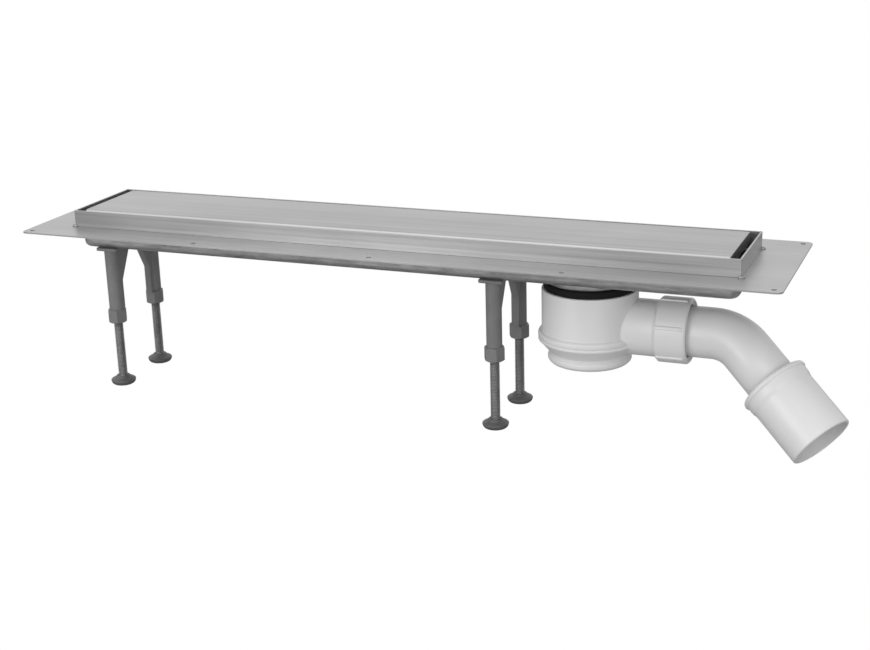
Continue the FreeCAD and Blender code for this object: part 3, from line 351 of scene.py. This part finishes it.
# joins or cuts one mesh with others and gives the result back as a bmesh
def combine(bm, tools, operation):
    blank = asObject(bm, "blank")
    helpers = []
    for tool in tools:
        helper = asObject(tool, "tool")
        cut = blank.modifiers.new("cut", "BOOLEAN")
        cut.operation = operation
        cut.solver = "EXACT"
        cut.object = helper
        helpers.append(helper)
    ready = blank.evaluated_get(bpy.context.evaluated_depsgraph_get())
    out = bmesh.new()
    out.from_mesh(ready.to_mesh())
    for item in [blank] + helpers:
        mesh = item.data
        bpy.data.objects.remove(item)
        bpy.data.meshes.remove(mesh)
    bmesh.ops.remove_doubles(out, verts=out.verts, dist=1e-6)
    return out


def gather(bm, others):
    for other in others:
        mesh = bpy.data.meshes.new("part")
        other.to_mesh(mesh)
        other.free()
        bm.from_mesh(mesh)
        bpy.data.meshes.remove(mesh)
    return bm


# makes the object, gives it its finish, rides it on its body and hides the solids it stands for
def finishPiece(bm, name, body, finish, replaced, edge=0, wall=0, sharp=32, limit=40, turn=True):
    bmesh.ops.remove_doubles(bm, verts=bm.verts, dist=1e-6)
    if turn:
        bmesh.ops.recalc_face_normals(bm, faces=bm.faces)
    piece = asObject(bm, name)
    for polygon in piece.data.polygons:
        polygon.use_smooth = True
    if wall:
        shell = piece.modifiers.new("wall", "SOLIDIFY")
        shell.thickness = wall * mm
        shell.offset = -1
        shell.use_even_offset = True
    if edge:
        softened = piece.modifiers.new("edges", "BEVEL")
        softened.width = edge * mm
        softened.segments = 2
        softened.limit_method = "ANGLE"
        softened.angle_limit = math.radians(limit)
        softened.harden_normals = True
    else:
        piece.data.set_sharp_from_angle(angle=math.radians(sharp))
    piece.data.materials.append(finish)
    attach(piece, body)
    if replaced:
        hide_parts(*replaced)
    print("made", name, len(piece.data.polygons), "faces")
    return piece


# ---- channel: flange, basin and boss from one sheet, drawn as its upper skin

channel = {"sheet": 1.2, "flangeLength": 645, "flangeWidth": 145, "flangeCorner": 5,
           "basinLength": 571, "basinWidth": 79, "basinCorner": 9, "depth": 19, "bottomRadius": 5,
           "topRadius": 1, "lip": 1.8, "outlet": 161, "boss": 36, "bossDepth": 4, "throat": 27,
           "anchorX": 157.75, "anchorY": 65.5, "anchorRadius": 2, "screwCircle": 30.7, "screwHole": 2.1,
           "edge": .25}


def makeChannel():
    c = channel
    bm = bmesh.new()
    length = c["basinLength"] - 2 * c["sheet"]
    width = c["basinWidth"] - 2 * c["sheet"]
    floorHeight = c["sheet"] - c["depth"]
    floor = roundedPlate(bm, length, width, c["basinCorner"] - c["sheet"], floorHeight)
    lowRim = list(floor.edges)
    walls = bmesh.ops.extrude_edge_only(bm, edges=lowRim)
    move(bm, vertsOf(walls), z=-floorHeight)
    topRim = level(edgesOf(walls))
    lip = bmesh.ops.extrude_edge_only(bm, edges=topRim)
    lipVerts = vertsOf(lip)
    grow = Matrix.Diagonal((1 + 2 * c["lip"] / length, 1 + 2 * c["lip"] / width, 1, 1))
    bmesh.ops.transform(bm, matrix=grow, verts=lipVerts)
    soften(bm, topRim, c["topRadius"], segments=3)
    soften(bm, lowRim, c["bottomRadius"] - c["sheet"], segments=5)
    flats = [face for face in bm.faces if abs(face.calc_center_median().z - floorHeight * mm) < 1e-6]
    floor = max(flats, key=lambda face: face.calc_area())
    floorRim = list(floor.edges)
    mouth = [edge for edge in bm.edges if edge.is_boundary]
    bmesh.ops.delete(bm, geom=[floor], context="FACES_ONLY")

    bossRim = ring(bm, c["boss"] - c["sheet"], floorHeight, c["outlet"])
    bmesh.ops.triangle_fill(bm, use_beauty=True, use_dissolve=False, edges=floorRim + bossRim)
    bossWall = bmesh.ops.extrude_edge_only(bm, edges=bossRim)
    move(bm, vertsOf(bossWall), z=-c["bossDepth"])
    bossFoot = level(edgesOf(bossWall))
    bossFloor = bmesh.ops.extrude_edge_only(bm, edges=bossFoot)
    shrink = (c["boss"] - 3) / (c["boss"] - c["sheet"])
    centre = place(c["outlet"])
    bmesh.ops.transform(bm, matrix=centre @ Matrix.Diagonal((shrink, shrink, 1, 1)) @ centre.inverted(),
                        verts=vertsOf(bossFloor))
    soften(bm, bossFoot, .5, segments=3)
    bottom = floorHeight - c["bossDepth"]
    holes = [edge for edge in bm.edges if edge.is_boundary and abs(edge.verts[0].co.z - bottom * mm) < 1e-6]
    holes += ring(bm, c["throat"], bottom, c["outlet"])
    for turn in range(0, 360, 90):
        angle = math.radians(turn)
        holes += ring(bm, c["screwHole"], bottom, c["outlet"] + c["screwCircle"] * math.cos(angle),
                      c["screwCircle"] * math.sin(angle), segments=12)
    bmesh.ops.triangle_fill(bm, use_beauty=True, use_dissolve=False, edges=holes)

    flange = roundedPlate(bm, c["flangeLength"], c["flangeWidth"], c["flangeCorner"])
    rims = list(flange.edges) + mouth
    bmesh.ops.delete(bm, geom=[flange], context="FACES_ONLY")
    for side in (-1, 1):
        for step in range(-2, 3):
            rims += ring(bm, c["anchorRadius"], 0, step * c["anchorX"], side * c["anchorY"], 16)
    bmesh.ops.triangle_fill(bm, use_beauty=True, use_dissolve=False, edges=rims)
    bmesh.ops.remove_doubles(bm, verts=bm.verts, dist=1e-6)
    bmesh.ops.recalc_face_normals(bm, faces=bm.faces)
    highest = max(bm.faces, key=lambda face: (round(face.calc_center_median().z, 5), face.calc_area()))
    if highest.normal.z < 0:
        bmesh.ops.reverse_faces(bm, faces=bm.faces)
    return finishPiece(bm, "channelSheet", "channel", steelChannel, ["channel_body"],
                       edge=c["edge"], wall=c["sheet"], limit=55, turn=False)


makeChannel()

# ---- upstand frame with the weld beads at its corners

upstand = {"length": 575, "width": 85, "height": 14, "wall": 1.5, "corner": .8, "edge": .3, "bead": 2.1}


def makeUpstand():
    u = upstand
    bm = bmesh.new()
    outer = roundedPlate(bm, u["length"], u["width"], u["corner"], segments=3)
    bmesh.ops.inset_individual(bm, faces=[outer], thickness=u["wall"] * mm, use_even_offset=True)
    bmesh.ops.delete(bm, geom=[outer], context="FACES_ONLY")
    thicken(bm, list(bm.faces), u["height"])
    strips = [name for name in nodes if name.startswith("frame_")]
    finishPiece(bm, "upstandFrame", "channel", steelFrame, strips, edge=u["edge"])

    beads = bmesh.new()
    for x in (-1, 1):
        for y in (-1, 1):
            flat = Matrix.Diagonal((1.3, 1, .75, 1))
            bmesh.ops.create_uvsphere(beads, u_segments=20, v_segments=12, radius=u["bead"] * mm, matrix=place(
                x * (u["length"] / 2 + .2), y * (u["width"] / 2 - .4), .3) @ flat)
    finishPiece(beads, "frameWelds", "channel", weld, [])


makeUpstand()

# ---- cover plate, folded down on four sides

cover = {"length": 557, "width": 78, "top": 14.5, "skirt": 9, "sheet": 1.5, "longBend": 3, "endBend": 3,
         "edge": .25}


def makeCover():
    c = cover
    bm = bmesh.new()
    top = roundedPlate(bm, c["length"], c["width"], 0, c["top"])
    longEdges = [edge for edge in top.edges if abs(edge.verts[0].co.x - edge.verts[1].co.x) > .1]
    endEdges = [edge for edge in top.edges if edge not in longEdges]
    skirt = bmesh.ops.extrude_edge_only(bm, edges=list(top.edges))
    move(bm, vertsOf(skirt), z=-c["skirt"])
    soften(bm, longEdges, c["longBend"], segments=6)
    bm.normal_update()
    ends = [edge for edge in bm.edges if len(edge.link_faces) == 2 and abs(
        abs(edge.verts[0].co.x) - c["length"] / 2 * mm) < 1e-6 and abs(
        abs(edge.verts[1].co.x) - c["length"] / 2 * mm) < 1e-6 and max(
        abs(face.normal.x) for face in edge.link_faces) > .9 and min(
        abs(face.normal.x) for face in edge.link_faces) < .1 and min(
        vert.co.z for vert in edge.verts) > (c["top"] - c["longBend"] - .1) * mm]
    soften(bm, ends, c["endBend"], segments=4)
    bmesh.ops.recalc_face_normals(bm, faces=bm.faces)
    widest = max(bm.faces, key=lambda face: face.calc_area())
    if widest.normal.z < 0:
        bmesh.ops.reverse_faces(bm, faces=bm.faces)
    finishPiece(bm, "coverPlate", "channel", steelCover, ["cover_plate"],
                edge=c["edge"], wall=c["sheet"], limit=60, turn=False)


makeCover()

# ---- siphon trap: barrel with band, taper and neck, and the outlet stub

trap = {"axis": 161, "top": -29, "barrel": 38.4, "wall": 3, "rimHeight": 8, "rimBore": 27, "bandTop": 34.5,
        "band": 41.2, "bandBottom": 44, "neckTop": 50, "neck": 33.5, "neckBottom": 55, "neckWall": 4.5,
        "stubDrop": 29.5, "stub": 22.5, "stubReach": 74, "thread": 23.9, "threadLength": 14, "bore": 20.08,
        "threadPitch": 3}
stubHeight = trap["top"] - trap["stubDrop"]
alongX = Matrix.Rotation(math.radians(90), 4, "Y")
stubFrame = place(trap["axis"], 0, stubHeight) @ alongX   # local z runs out along the stub


def makeTrap():
    t = trap
    where = place(t["axis"], 0, t["top"])
    outside = turned([
        (0, 0, 0), (t["barrel"], 0, .8), (t["barrel"], -t["bandTop"], .6), (t["band"] - .7, -t["bandTop"] - .9, .4),
        (t["band"], -t["bandTop"] - 2.2, .5), (t["band"], 4.6 - t["bandBottom"], .5),
        (t["band"] - .8, 4.1 - t["bandBottom"], .2), (t["band"] - .8, 3.3 - t["bandBottom"], .2),
        (t["band"] - .1, 2.9 - t["bandBottom"], .2), (t["band"] - .2, 1.6 - t["bandBottom"], .3),
        (t["band"] - 1.2, 1.1 - t["bandBottom"], .2), (t["band"] - 2, -t["bandBottom"], .8),
        (t["neck"] + .5, -t["neckTop"], .4), (t["neck"], -t["neckTop"] - 1, .3), (t["neck"] - 1, -t["neckTop"] - 1.5, .2),
        (t["neck"] - 1, -t["neckBottom"], 0), (0, -t["neckBottom"], 0)], steps=128, where=where)
    pitch = t["threadPitch"]
    stub = [(0, 20, 0), (t["stub"], 20, 0), (t["stub"], t["stubReach"] - t["threadLength"] - 4.4, .2),
            (t["thread"] - .2, t["stubReach"] - t["threadLength"] - 3.9, .3),
            (t["thread"] - .2, t["stubReach"] - t["threadLength"] - 2.4, .3), (t["stub"], t["stubReach"] - 16, .2)]
    start = t["stubReach"] - t["threadLength"]
    for turn in range(4):
        low = start + turn * pitch
        stub += [(t["stub"], low + .5, 0), (t["thread"], low + 1.1, 0), (t["thread"], low + 1.9, 0),
                 (t["stub"], low + 2.5, 0)]
    stub += [(t["stub"], t["stubReach"], .4), (0, t["stubReach"], 0)]
    body = combine(outside, [turned(stub, where=stubFrame)], "UNION")
    seam = []
    for edge in body.edges:
        middle = (edge.verts[0].co + edge.verts[1].co) / 2
        out = Vector((middle.x - t["axis"] * mm, middle.y, 0)).length
        tube = Vector((0, middle.y, middle.z - stubHeight * mm)).length
        if abs(out - t["barrel"] * mm) < 3.2 * mm and abs(tube - t["stub"] * mm) < .15 * mm \
                and middle.x > t["axis"] * mm and edge.calc_face_angle(0) > .4:
            seam.append(edge)
    soften(body, seam, .8, segments=3)
    hollow = turned([
        (0, 5, 0), (t["rimBore"], 5, 0), (t["rimBore"], -t["rimHeight"], 0),
        (t["barrel"] - t["wall"], -t["rimHeight"], 0), (t["barrel"] - t["wall"], 3 - t["bandBottom"], 1),
        (t["neck"] - t["neckWall"], -t["neckTop"], 1), (t["neck"] - t["neckWall"], -t["neckBottom"] - 5, 0),
        (0, -t["neckBottom"] - 5, 0)], where=where)
    bore = turned([(0, 24, 0), (t["bore"], 24, 0), (t["bore"], 90, 0), (0, 90, 0)], where=stubFrame)
    body = combine(body, [hollow, bore], "DIFFERENCE")
    return finishPiece(body, "trapBody", "channel", plastic, ["trap_body"], sharp=28)


makeTrap()


def makeCap():
    t = trap
    low = t["neckBottom"] + 6
    cap = turned([
        (0, -low + 1, 0), (12, -low + 1, .5), (13, -low, .5), (t["neck"] - 2.5, -low, 1), (t["neck"], 2.5 - low, 1),
        (t["neck"], -t["neckBottom"] - .6, .3), (t["neck"] - .6, -t["neckBottom"], .3), (28.92, -t["neckBottom"], 0),
        (28.92, 4 - t["neckBottom"], .3), (26.82, 4 - t["neckBottom"], .3), (26.82, 2.5 - low, .5), (0, 2.5 - low, 0)],
        where=place(t["axis"], 0, t["top"]))
    finishPiece(cap, "cleaningCap", "channel", plastic, ["cleaning_cap"], sharp=28)


makeCap()

# ---- union nut with its six grip ribs

nut = {"start": 57, "length": 25, "radius": 26, "bore": 23.98, "mouth": 20.9, "end": 3, "rim": 3.1, "recess": 1.2,
       "ribHeight": 1.1, "ribWidth": 3, "ribs": 6, "turn": 11}


def makeNut():
    n = nut
    far = n["start"] + n["length"]
    body = turned([
        (n["bore"], n["start"], .4), (n["radius"] - 1.5, n["start"], .3), (n["radius"], n["start"] + 1.5, .6),
        (n["radius"], far - 1.5, .6), (n["radius"] - 1.5, far, .5), (n["radius"] - n["rim"], far, .4),
        (n["radius"] - n["rim"], far - n["recess"], .3), (n["mouth"], far - n["recess"], .3),
        (n["mouth"], far - n["end"], 0), (n["bore"], far - n["end"], 0)], steps=120)
    for step in range(n["ribs"]):
        bar = bmesh.new()
        face = roundedPlate(bar, n["ribHeight"] + 1, n["ribWidth"], 0, n["start"] + 1.5,
                            n["radius"] + (n["ribHeight"] - 1) / 2)
        thicken(bar, [face], n["length"] - 4)
        outer = [edge for edge in bar.edges if min(v.co.x for v in edge.verts) > n["radius"] * mm]
        soften(bar, outer, .7, segments=3)
        bmesh.ops.rotate(bar, cent=(0, 0, 0), verts=bar.verts,
                         matrix=Matrix.Rotation(math.tau / n["ribs"] * step, 3, "Z"))
        body = gather(body, [bar])
    # a rib faces the front, then the nut is turned by its fitted angle
    spin = Matrix.Rotation(math.radians(n["turn"]), 4, "X") @ stubFrame.inverted().to_3x3().to_4x4().inverted()
    bmesh.ops.transform(body, matrix=place(trap["axis"], 0, stubHeight) @ spin, verts=body.verts)
    finishPiece(body, "unionNut", "union_nut", plastic, ["union_nut"], sharp=30)


makeNut()

# ---- outlet bend: straight, 45 degrees, straight

pipe = {"start": 56, "bendAt": 98.7, "radius": 20, "wall": 2, "bendRadius": 38, "angle": 45, "roll": 31, "arm": 60,
        "segments": 72, "steps": 18}
bendFrame = place(trap["axis"], 0, stubHeight) @ Matrix.Rotation(math.radians(-pipe["roll"]), 4, "X")
slope = math.radians(pipe["angle"])
armStart = Vector((pipe["bendAt"] + pipe["bendRadius"] * math.sin(slope), 0,
                   pipe["bendRadius"] * math.cos(slope) - pipe["bendRadius"]))
armWay = Vector((math.cos(slope), 0, -math.sin(slope)))


def makeBend():
    p = pipe
    bm = bmesh.new()
    made = bmesh.ops.create_circle(bm, cap_ends=False, radius=p["radius"] * mm, segments=p["segments"],
                                   matrix=place(p["start"]) @ alongX)
    first = list({edge for vert in made["verts"] for edge in vert.link_edges})
    run = bmesh.ops.extrude_edge_only(bm, edges=first)
    move(bm, vertsOf(run), x=p["bendAt"] - p["start"])
    rim = [edge for edge in edgesOf(run) if min(vert.co.x for vert in edge.verts) > (p["bendAt"] - .1) * mm]
    curve = bmesh.ops.spin(bm, geom=rim, cent=(p["bendAt"] * mm, 0, -p["bendRadius"] * mm), axis=(0, 1, 0),
                           dvec=(0, 0, 0), angle=slope, steps=p["steps"])
    arm = bmesh.ops.extrude_edge_only(bm, edges=edgesOf(curve, "geom_last"))
    bmesh.ops.translate(bm, vec=armWay * p["arm"] * mm, verts=vertsOf(arm))
    bmesh.ops.remove_doubles(bm, verts=bm.verts, dist=1e-6)
    bmesh.ops.recalc_face_normals(bm, faces=bm.faces)
    if max(bm.faces, key=lambda face: face.calc_center_median().z).normal.z < 0:
        bmesh.ops.reverse_faces(bm, faces=bm.faces)
    bmesh.ops.transform(bm, matrix=bendFrame, verts=bm.verts)
    return finishPiece(bm, "outletBend", "bend", plastic, ["outlet_bend"], wall=p["wall"],
                       sharp=40, turn=False)


makeBend()

# ---- adapter: socket with a lip, then the open end

adapter = {"place": 33, "length": 58, "lip": 27.7, "lipLength": 13, "radius": 25.5, "wall": 2.2, "socket": 28,
           "bore": 20.08}
tilt = Matrix.Rotation(math.radians(90) + slope, 4, "Y")
adapterFrame = bendFrame @ Matrix.Translation((armStart + armWay * adapter["place"]) * mm) @ tilt


def makeAdapter():
    a = adapter
    inside = a["radius"] - a["wall"]
    bm = turned([
        (a["bore"], 0, .4), (a["lip"] - .9, 0, .7), (a["lip"], 1.6, .8), (a["lip"], 3.4, .6), (a["lip"] - 1, 4.4, .5),
        (a["radius"] + .9, a["lipLength"] - 3, .8), (a["radius"], a["lipLength"], 1.2),
        (a["radius"], a["length"] - .8, .3), (a["radius"] - .8, a["length"], .3), (inside, a["length"], .4),
        (inside, a["socket"] + 5, 1), (18, a["socket"] + 2, .5), (18, a["socket"], 0), (a["bore"], a["socket"], 0)],
        steps=128, where=adapterFrame)
    finishPiece(bm, "outletAdapter", "adapter", plastic, ["outlet_adapter"], sharp=28)


makeAdapter()

# ---- leg brackets: plate, two sleeves with hexagonal collars, arch webs

bracket = {"top": -19, "plate": 2.5, "plateLength": 20, "plateWidth": 80, "plateCorner": 2, "spread": 31,
           "sleeve": 6.4, "bore": 4.4, "drop": 68.5, "collar": 15, "collarHeight": 12, "collarChamfer": 1.6,
           "webThick": 6, "webTop": 25, "webReach": 30, "ribDepth": 9, "pocket": 13.2, "pocketDepth": 8.5,
           "studHole": 2.2, "studSpacing": 11.6, "edge": .45, "places": (("left", -261), ("right", 91))}


def hexPocket(across, bottom, top, y):
    bm = bmesh.new()
    bmesh.ops.create_circle(bm, cap_ends=True, radius=across / 2 / math.cos(math.radians(30)) * mm, segments=6,
                            matrix=place(0, y, bottom) @ Matrix.Rotation(math.radians(90), 4, "Z"))
    thicken(bm, list(bm.faces), top - bottom)
    return bm


# one web of the arch, cut from a flat plate between sleeve and top plate
def webPlate(side):
    b = bracket
    bm = bmesh.new()
    top, low = -b["plate"] / 2, -(b["drop"] - b["collarHeight"]) - 1
    corners = [(b["spread"], top), (b["spread"], low), (b["spread"] - b["ribDepth"], low),
               (b["spread"] - b["ribDepth"], -b["plate"] - b["webReach"]),
               (b["spread"] - b["webTop"], -b["plate"]), (b["spread"] - b["webTop"], top)]
    verts = [bm.verts.new((-b["webThick"] / 2 * mm, side * y * mm, z * mm)) for y, z in corners]
    face = bm.faces.new(verts)
    raised = bmesh.ops.extrude_face_region(bm, geom=[face], use_keep_orig=True)
    move(bm, vertsOf(raised), x=b["webThick"])
    soften(bm, list(bm.edges), b["edge"], segments=2)
    return bm


def makeBrackets():
    b = bracket
    for label, x in b["places"]:
        body = bmesh.new()
        thicken(body, [roundedPlate(body, b["plateLength"], b["plateWidth"], b["plateCorner"], -b["plate"])], b["plate"])
        soften(body, level(body.edges), b["edge"], segments=2)
        added = []
        cutter = bmesh.new()
        collarTop = -(b["drop"] - b["collarHeight"])
        for side in (-1, 1):
            y = side * b["spread"]
            added += [rod(b["sleeve"], collarTop - 1, -b["plate"] / 2, y=y), webPlate(side),
                      hexBar(b["collar"], -b["drop"], collarTop, b["collarChamfer"], y=y)]
            pocket = hexPocket(b["pocket"], -b["drop"] - 2, b["pocketDepth"] - b["drop"], y)
            gather(cutter, [combine(rod(b["bore"], -b["drop"] - 1, 1, y=y), [pocket], "UNION"),
                            rod(b["studHole"], -b["plate"] - 1, 1, side * b["studSpacing"] / 2, segments=20)])
        body = combine(combine(body, added, "UNION"), [cutter], "DIFFERENCE")
        bmesh.ops.transform(body, matrix=place(x, 0, b["top"]), verts=body.verts)
        finishPiece(body, "bracket_" + label, "channel", grey, ["leg_bracket_" + label], sharp=38)


makeBrackets()

# ---- legs: M8 studs with a real thread, and foot discs

leg = {"radius": 3.95, "root": 3.35, "pitch": 1.25, "bottom": -142.5, "length": 90, "steps": 20, "spread": 31,
       "floor": -145, "foot": 11, "base": 8.5, "hub": 5.6, "footHeight": 8, "rim": 4, "socket": 4}


# a thread as one tooth turned up the axis, then closed with a plain chamfered end at both ends
def threadedRod(radius, root, pitch, length, steps):
    bm = bmesh.new()
    tooth = [(root, 0), (radius, pitch * .42), (radius, pitch * .58), (root, pitch)]
    verts = [bm.verts.new((r * mm, 0, z * mm)) for r, z in tooth]
    edges = [bm.edges.new(pair) for pair in zip(verts, verts[1:])]
    turns = int(length / pitch) - 1
    bmesh.ops.spin(bm, geom=verts + edges, cent=(0, 0, 0), axis=(0, 0, 1), dvec=(0, 0, pitch * mm / steps),
                   angle=math.tau * turns, steps=turns * steps)
    bmesh.ops.remove_doubles(bm, verts=bm.verts, dist=1e-6)
    rest = (length - (turns + 1) * pitch) / 2
    move(bm, bm.verts, z=rest)
    for height in (0, length):
        rim = [edge for edge in bm.edges if edge.is_boundary and abs(edge.verts[0].co.z - height * mm) < 3 * pitch * mm]
        cap = ring(bm, root - .15, height, segments=steps)
        bmesh.ops.bridge_loops(bm, edges=rim + cap)
        bmesh.ops.contextual_create(bm, geom=cap)
    bmesh.ops.recalc_face_normals(bm, faces=bm.faces)
    return bm


def makeLegs():
    g = leg
    for end, x in bracket["places"]:
        for side, y in (("front", -g["spread"]), ("back", g["spread"])):
            name = "%s_%s" % (side, end)
            stud = threadedRod(g["radius"], g["root"], g["pitch"], g["length"], g["steps"])
            bmesh.ops.transform(stud, matrix=place(x, y, g["bottom"]), verts=stud.verts)
            finishPiece(stud, "stud_" + name, "stud_" + name, zinc, ["leg_stud_" + name], sharp=60)
            foot = turned([
                (0, 0, 0), (g["base"], 0, .8), (g["foot"] - .7, g["rim"] / 3, 1), (g["foot"], g["rim"], .5),
                (g["foot"] - 1, g["rim"] + .8, .6), (g["hub"] + 1.2, g["footHeight"] - 1.8, .9),
                (g["hub"], g["footHeight"], .5), (g["socket"], g["footHeight"], .2), (g["socket"], 2.5, 0), (0, 2.5, 0)],
                steps=64, where=place(x, y, g["floor"]))
            finishPiece(foot, "footDisc_" + name, "foot_" + name, footGrey, ["foot_" + name], sharp=45)


makeLegs()

# ---- fasteners under the basin and in the collars

fastener = {"studRadius": 1.95, "studRoot": 1.6, "studPitch": .7, "studLength": 9, "across": 7, "height": 3.2,
            "washer": .8, "captive": 13, "captiveHeight": 6.5, "captiveLow": -85.5}


def makeFasteners():
    f = fastener
    top = bracket["top"] - bracket["plate"] - f["washer"]
    studs, nuts, captives = bmesh.new(), bmesh.new(), bmesh.new()
    for label, place_ in bracket["places"]:
        for side in (-1, 1):
            x = place_ + side * bracket["studSpacing"] / 2
            stud = threadedRod(f["studRadius"], f["studRoot"], f["studPitch"], f["studLength"], 14)
            bmesh.ops.transform(stud, matrix=place(x, 0, bracket["top"] - f["studLength"]), verts=stud.verts)
            gather(studs, [stud])
            gather(nuts, [hexBar(f["across"], top - f["height"], top, .5, x, bore=f["studRoot"] + .3)])
            gather(captives, [hexBar(f["captive"], f["captiveLow"], f["captiveLow"] + f["captiveHeight"], .8,
                                     place_, side * bracket["spread"], leg["root"] + .5)])
    finishPiece(studs, "weldStuds", "channel", zinc, ["weld_studs"], sharp=60)
    finishPiece(nuts, "bracketNuts", "channel", zinc, ["bracket_nuts"])
    finishPiece(captives, "captiveNuts", "channel", zinc, ["captive_nuts"])


makeFasteners()

# ---- solids carried as they are: hidden or plain pieces

carried = {
    "cover_saddles": steelSheet, "clamp_ring": steelSheet, "clamp_screws": zinc, "bracket_washers": zinc,
    "outlet_seal": rubber, "dip_tube_ring": rubber, "union_seal": rubber, "adapter_seal": rubber,
    "dip_tube": plastic, "siphon_cup": plastic, "hair_strainer": plastic}
for name, finish in carried.items():
    nodes[name].data.materials.clear()
    nodes[name].data.materials.append(finish)
print("carried", len(carried), "solids")

# ---- stage, lamps and camera; the floor lies below the feet at their lowest, so that no pose sinks into it

studio = {"floor": -.17, "size": 5, "world": .55, "floorTone": .42,
          "lamps": (("overheadLamp", (-.55, -.5, 1.35), 1.9, 11), ("keyLamp", (1.1, -1.7, .5), 1.1, 8),
                    ("fillLamp", (-.8, -1.8, .3), 1.0, 9))}


# white to the camera, a plain pale surface to everything else
def floorMaterial():
    material = bpy.data.materials.new("paleFloor")
    material.use_nodes = True
    tree = material.node_tree
    tree.nodes.clear()
    output = tree.nodes.new("ShaderNodeOutputMaterial")
    mix = tree.nodes.new("ShaderNodeMixShader")
    pale = tree.nodes.new("ShaderNodeBsdfDiffuse")
    pale.inputs["Color"].default_value = (studio["floorTone"],) * 3 + (1,)
    white = tree.nodes.new("ShaderNodeEmission")
    path = tree.nodes.new("ShaderNodeLightPath")
    tree.links.new(path.outputs["Is Camera Ray"], mix.inputs[0])
    tree.links.new(pale.outputs[0], mix.inputs[1])
    tree.links.new(white.outputs[0], mix.inputs[2])
    tree.links.new(mix.outputs[0], output.inputs["Surface"])
    return material


def setStage():
    floor = bmesh.new()
    bmesh.ops.create_grid(floor, x_segments=1, y_segments=1, size=studio["size"],
                          matrix=Matrix.Translation((0, 0, studio["floor"])))
    slab = asObject(floor, "floor")
    slab.data.materials.append(floorMaterial())

    world = bpy.data.worlds.new("studio")
    bpy.context.scene.world = world
    world.use_nodes = True
    tree = world.node_tree
    back = tree.nodes["Background"]
    path = tree.nodes.new("ShaderNodeLightPath")
    seen = tree.nodes.new("ShaderNodeMath")
    seen.operation = "MAXIMUM"
    tree.links.new(path.outputs["Is Camera Ray"], seen.inputs[0])
    tree.links.new(path.outputs["Is Glossy Ray"], seen.inputs[1])
    both = tree.nodes.new("ShaderNodeMath")
    both.operation = "MAXIMUM"
    tree.links.new(seen.outputs[0], both.inputs[0])
    tree.links.new(path.outputs["Is Transmission Ray"], both.inputs[1])
    level = tree.nodes.new("ShaderNodeMapRange")
    tree.links.new(both.outputs[0], level.inputs["Value"])
    level.inputs["To Min"].default_value = studio["world"]
    level.inputs["To Max"].default_value = 1
    tree.links.new(level.outputs[0], back.inputs["Strength"])
    back.inputs["Color"].default_value = (1, 1, 1, 1)

    for name, where, width, power in studio["lamps"]:
        light = bpy.data.lights.new(name, "AREA")
        light.size = width
        light.energy = power
        lamp = bpy.data.objects.new(name, light)
        lamp.location = where
        aim = Vector((.1, 0, -.03)) - Vector(where)
        lamp.rotation_euler = aim.to_track_quat("-Z", "Y").to_euler()
        bpy.context.scene.collection.objects.link(lamp)


setStage()

# the photograph's view, solved from the frame, the flange and the legs
view = {"azimuth": 22.105, "elevation": 17.941, "roll": -1.667, "focal": 1543.24, "width": 870,
        "place": (486.49, -1129.4, 321.12)}


def setCamera():
    a, e, r = (math.radians(view[key]) for key in ("azimuth", "elevation", "roll"))
    right = Vector((math.cos(a), math.sin(a), 0))
    ahead = Vector((-math.sin(a) * math.cos(e), math.cos(a) * math.cos(e), -math.sin(e)))
    up = right.cross(ahead)
    rolledRight = right * math.cos(r) + up * math.sin(r)
    rolledUp = up * math.cos(r) - right * math.sin(r)
    data = bpy.data.cameras.new("photoCamera")
    data.sensor_width = 36
    data.lens = data.sensor_width * view["focal"] / view["width"]
    camera = bpy.data.objects.new("photoCamera", data)
    turn = Matrix((rolledRight, rolledUp, -ahead)).transposed().to_4x4()
    camera.matrix_world = Matrix.Translation(Vector(view["place"]) * mm) @ turn
    bpy.context.scene.collection.objects.link(camera)
    bpy.context.scene.camera = camera


setCamera()
bpy.context.scene.view_settings.view_transform = "Standard"
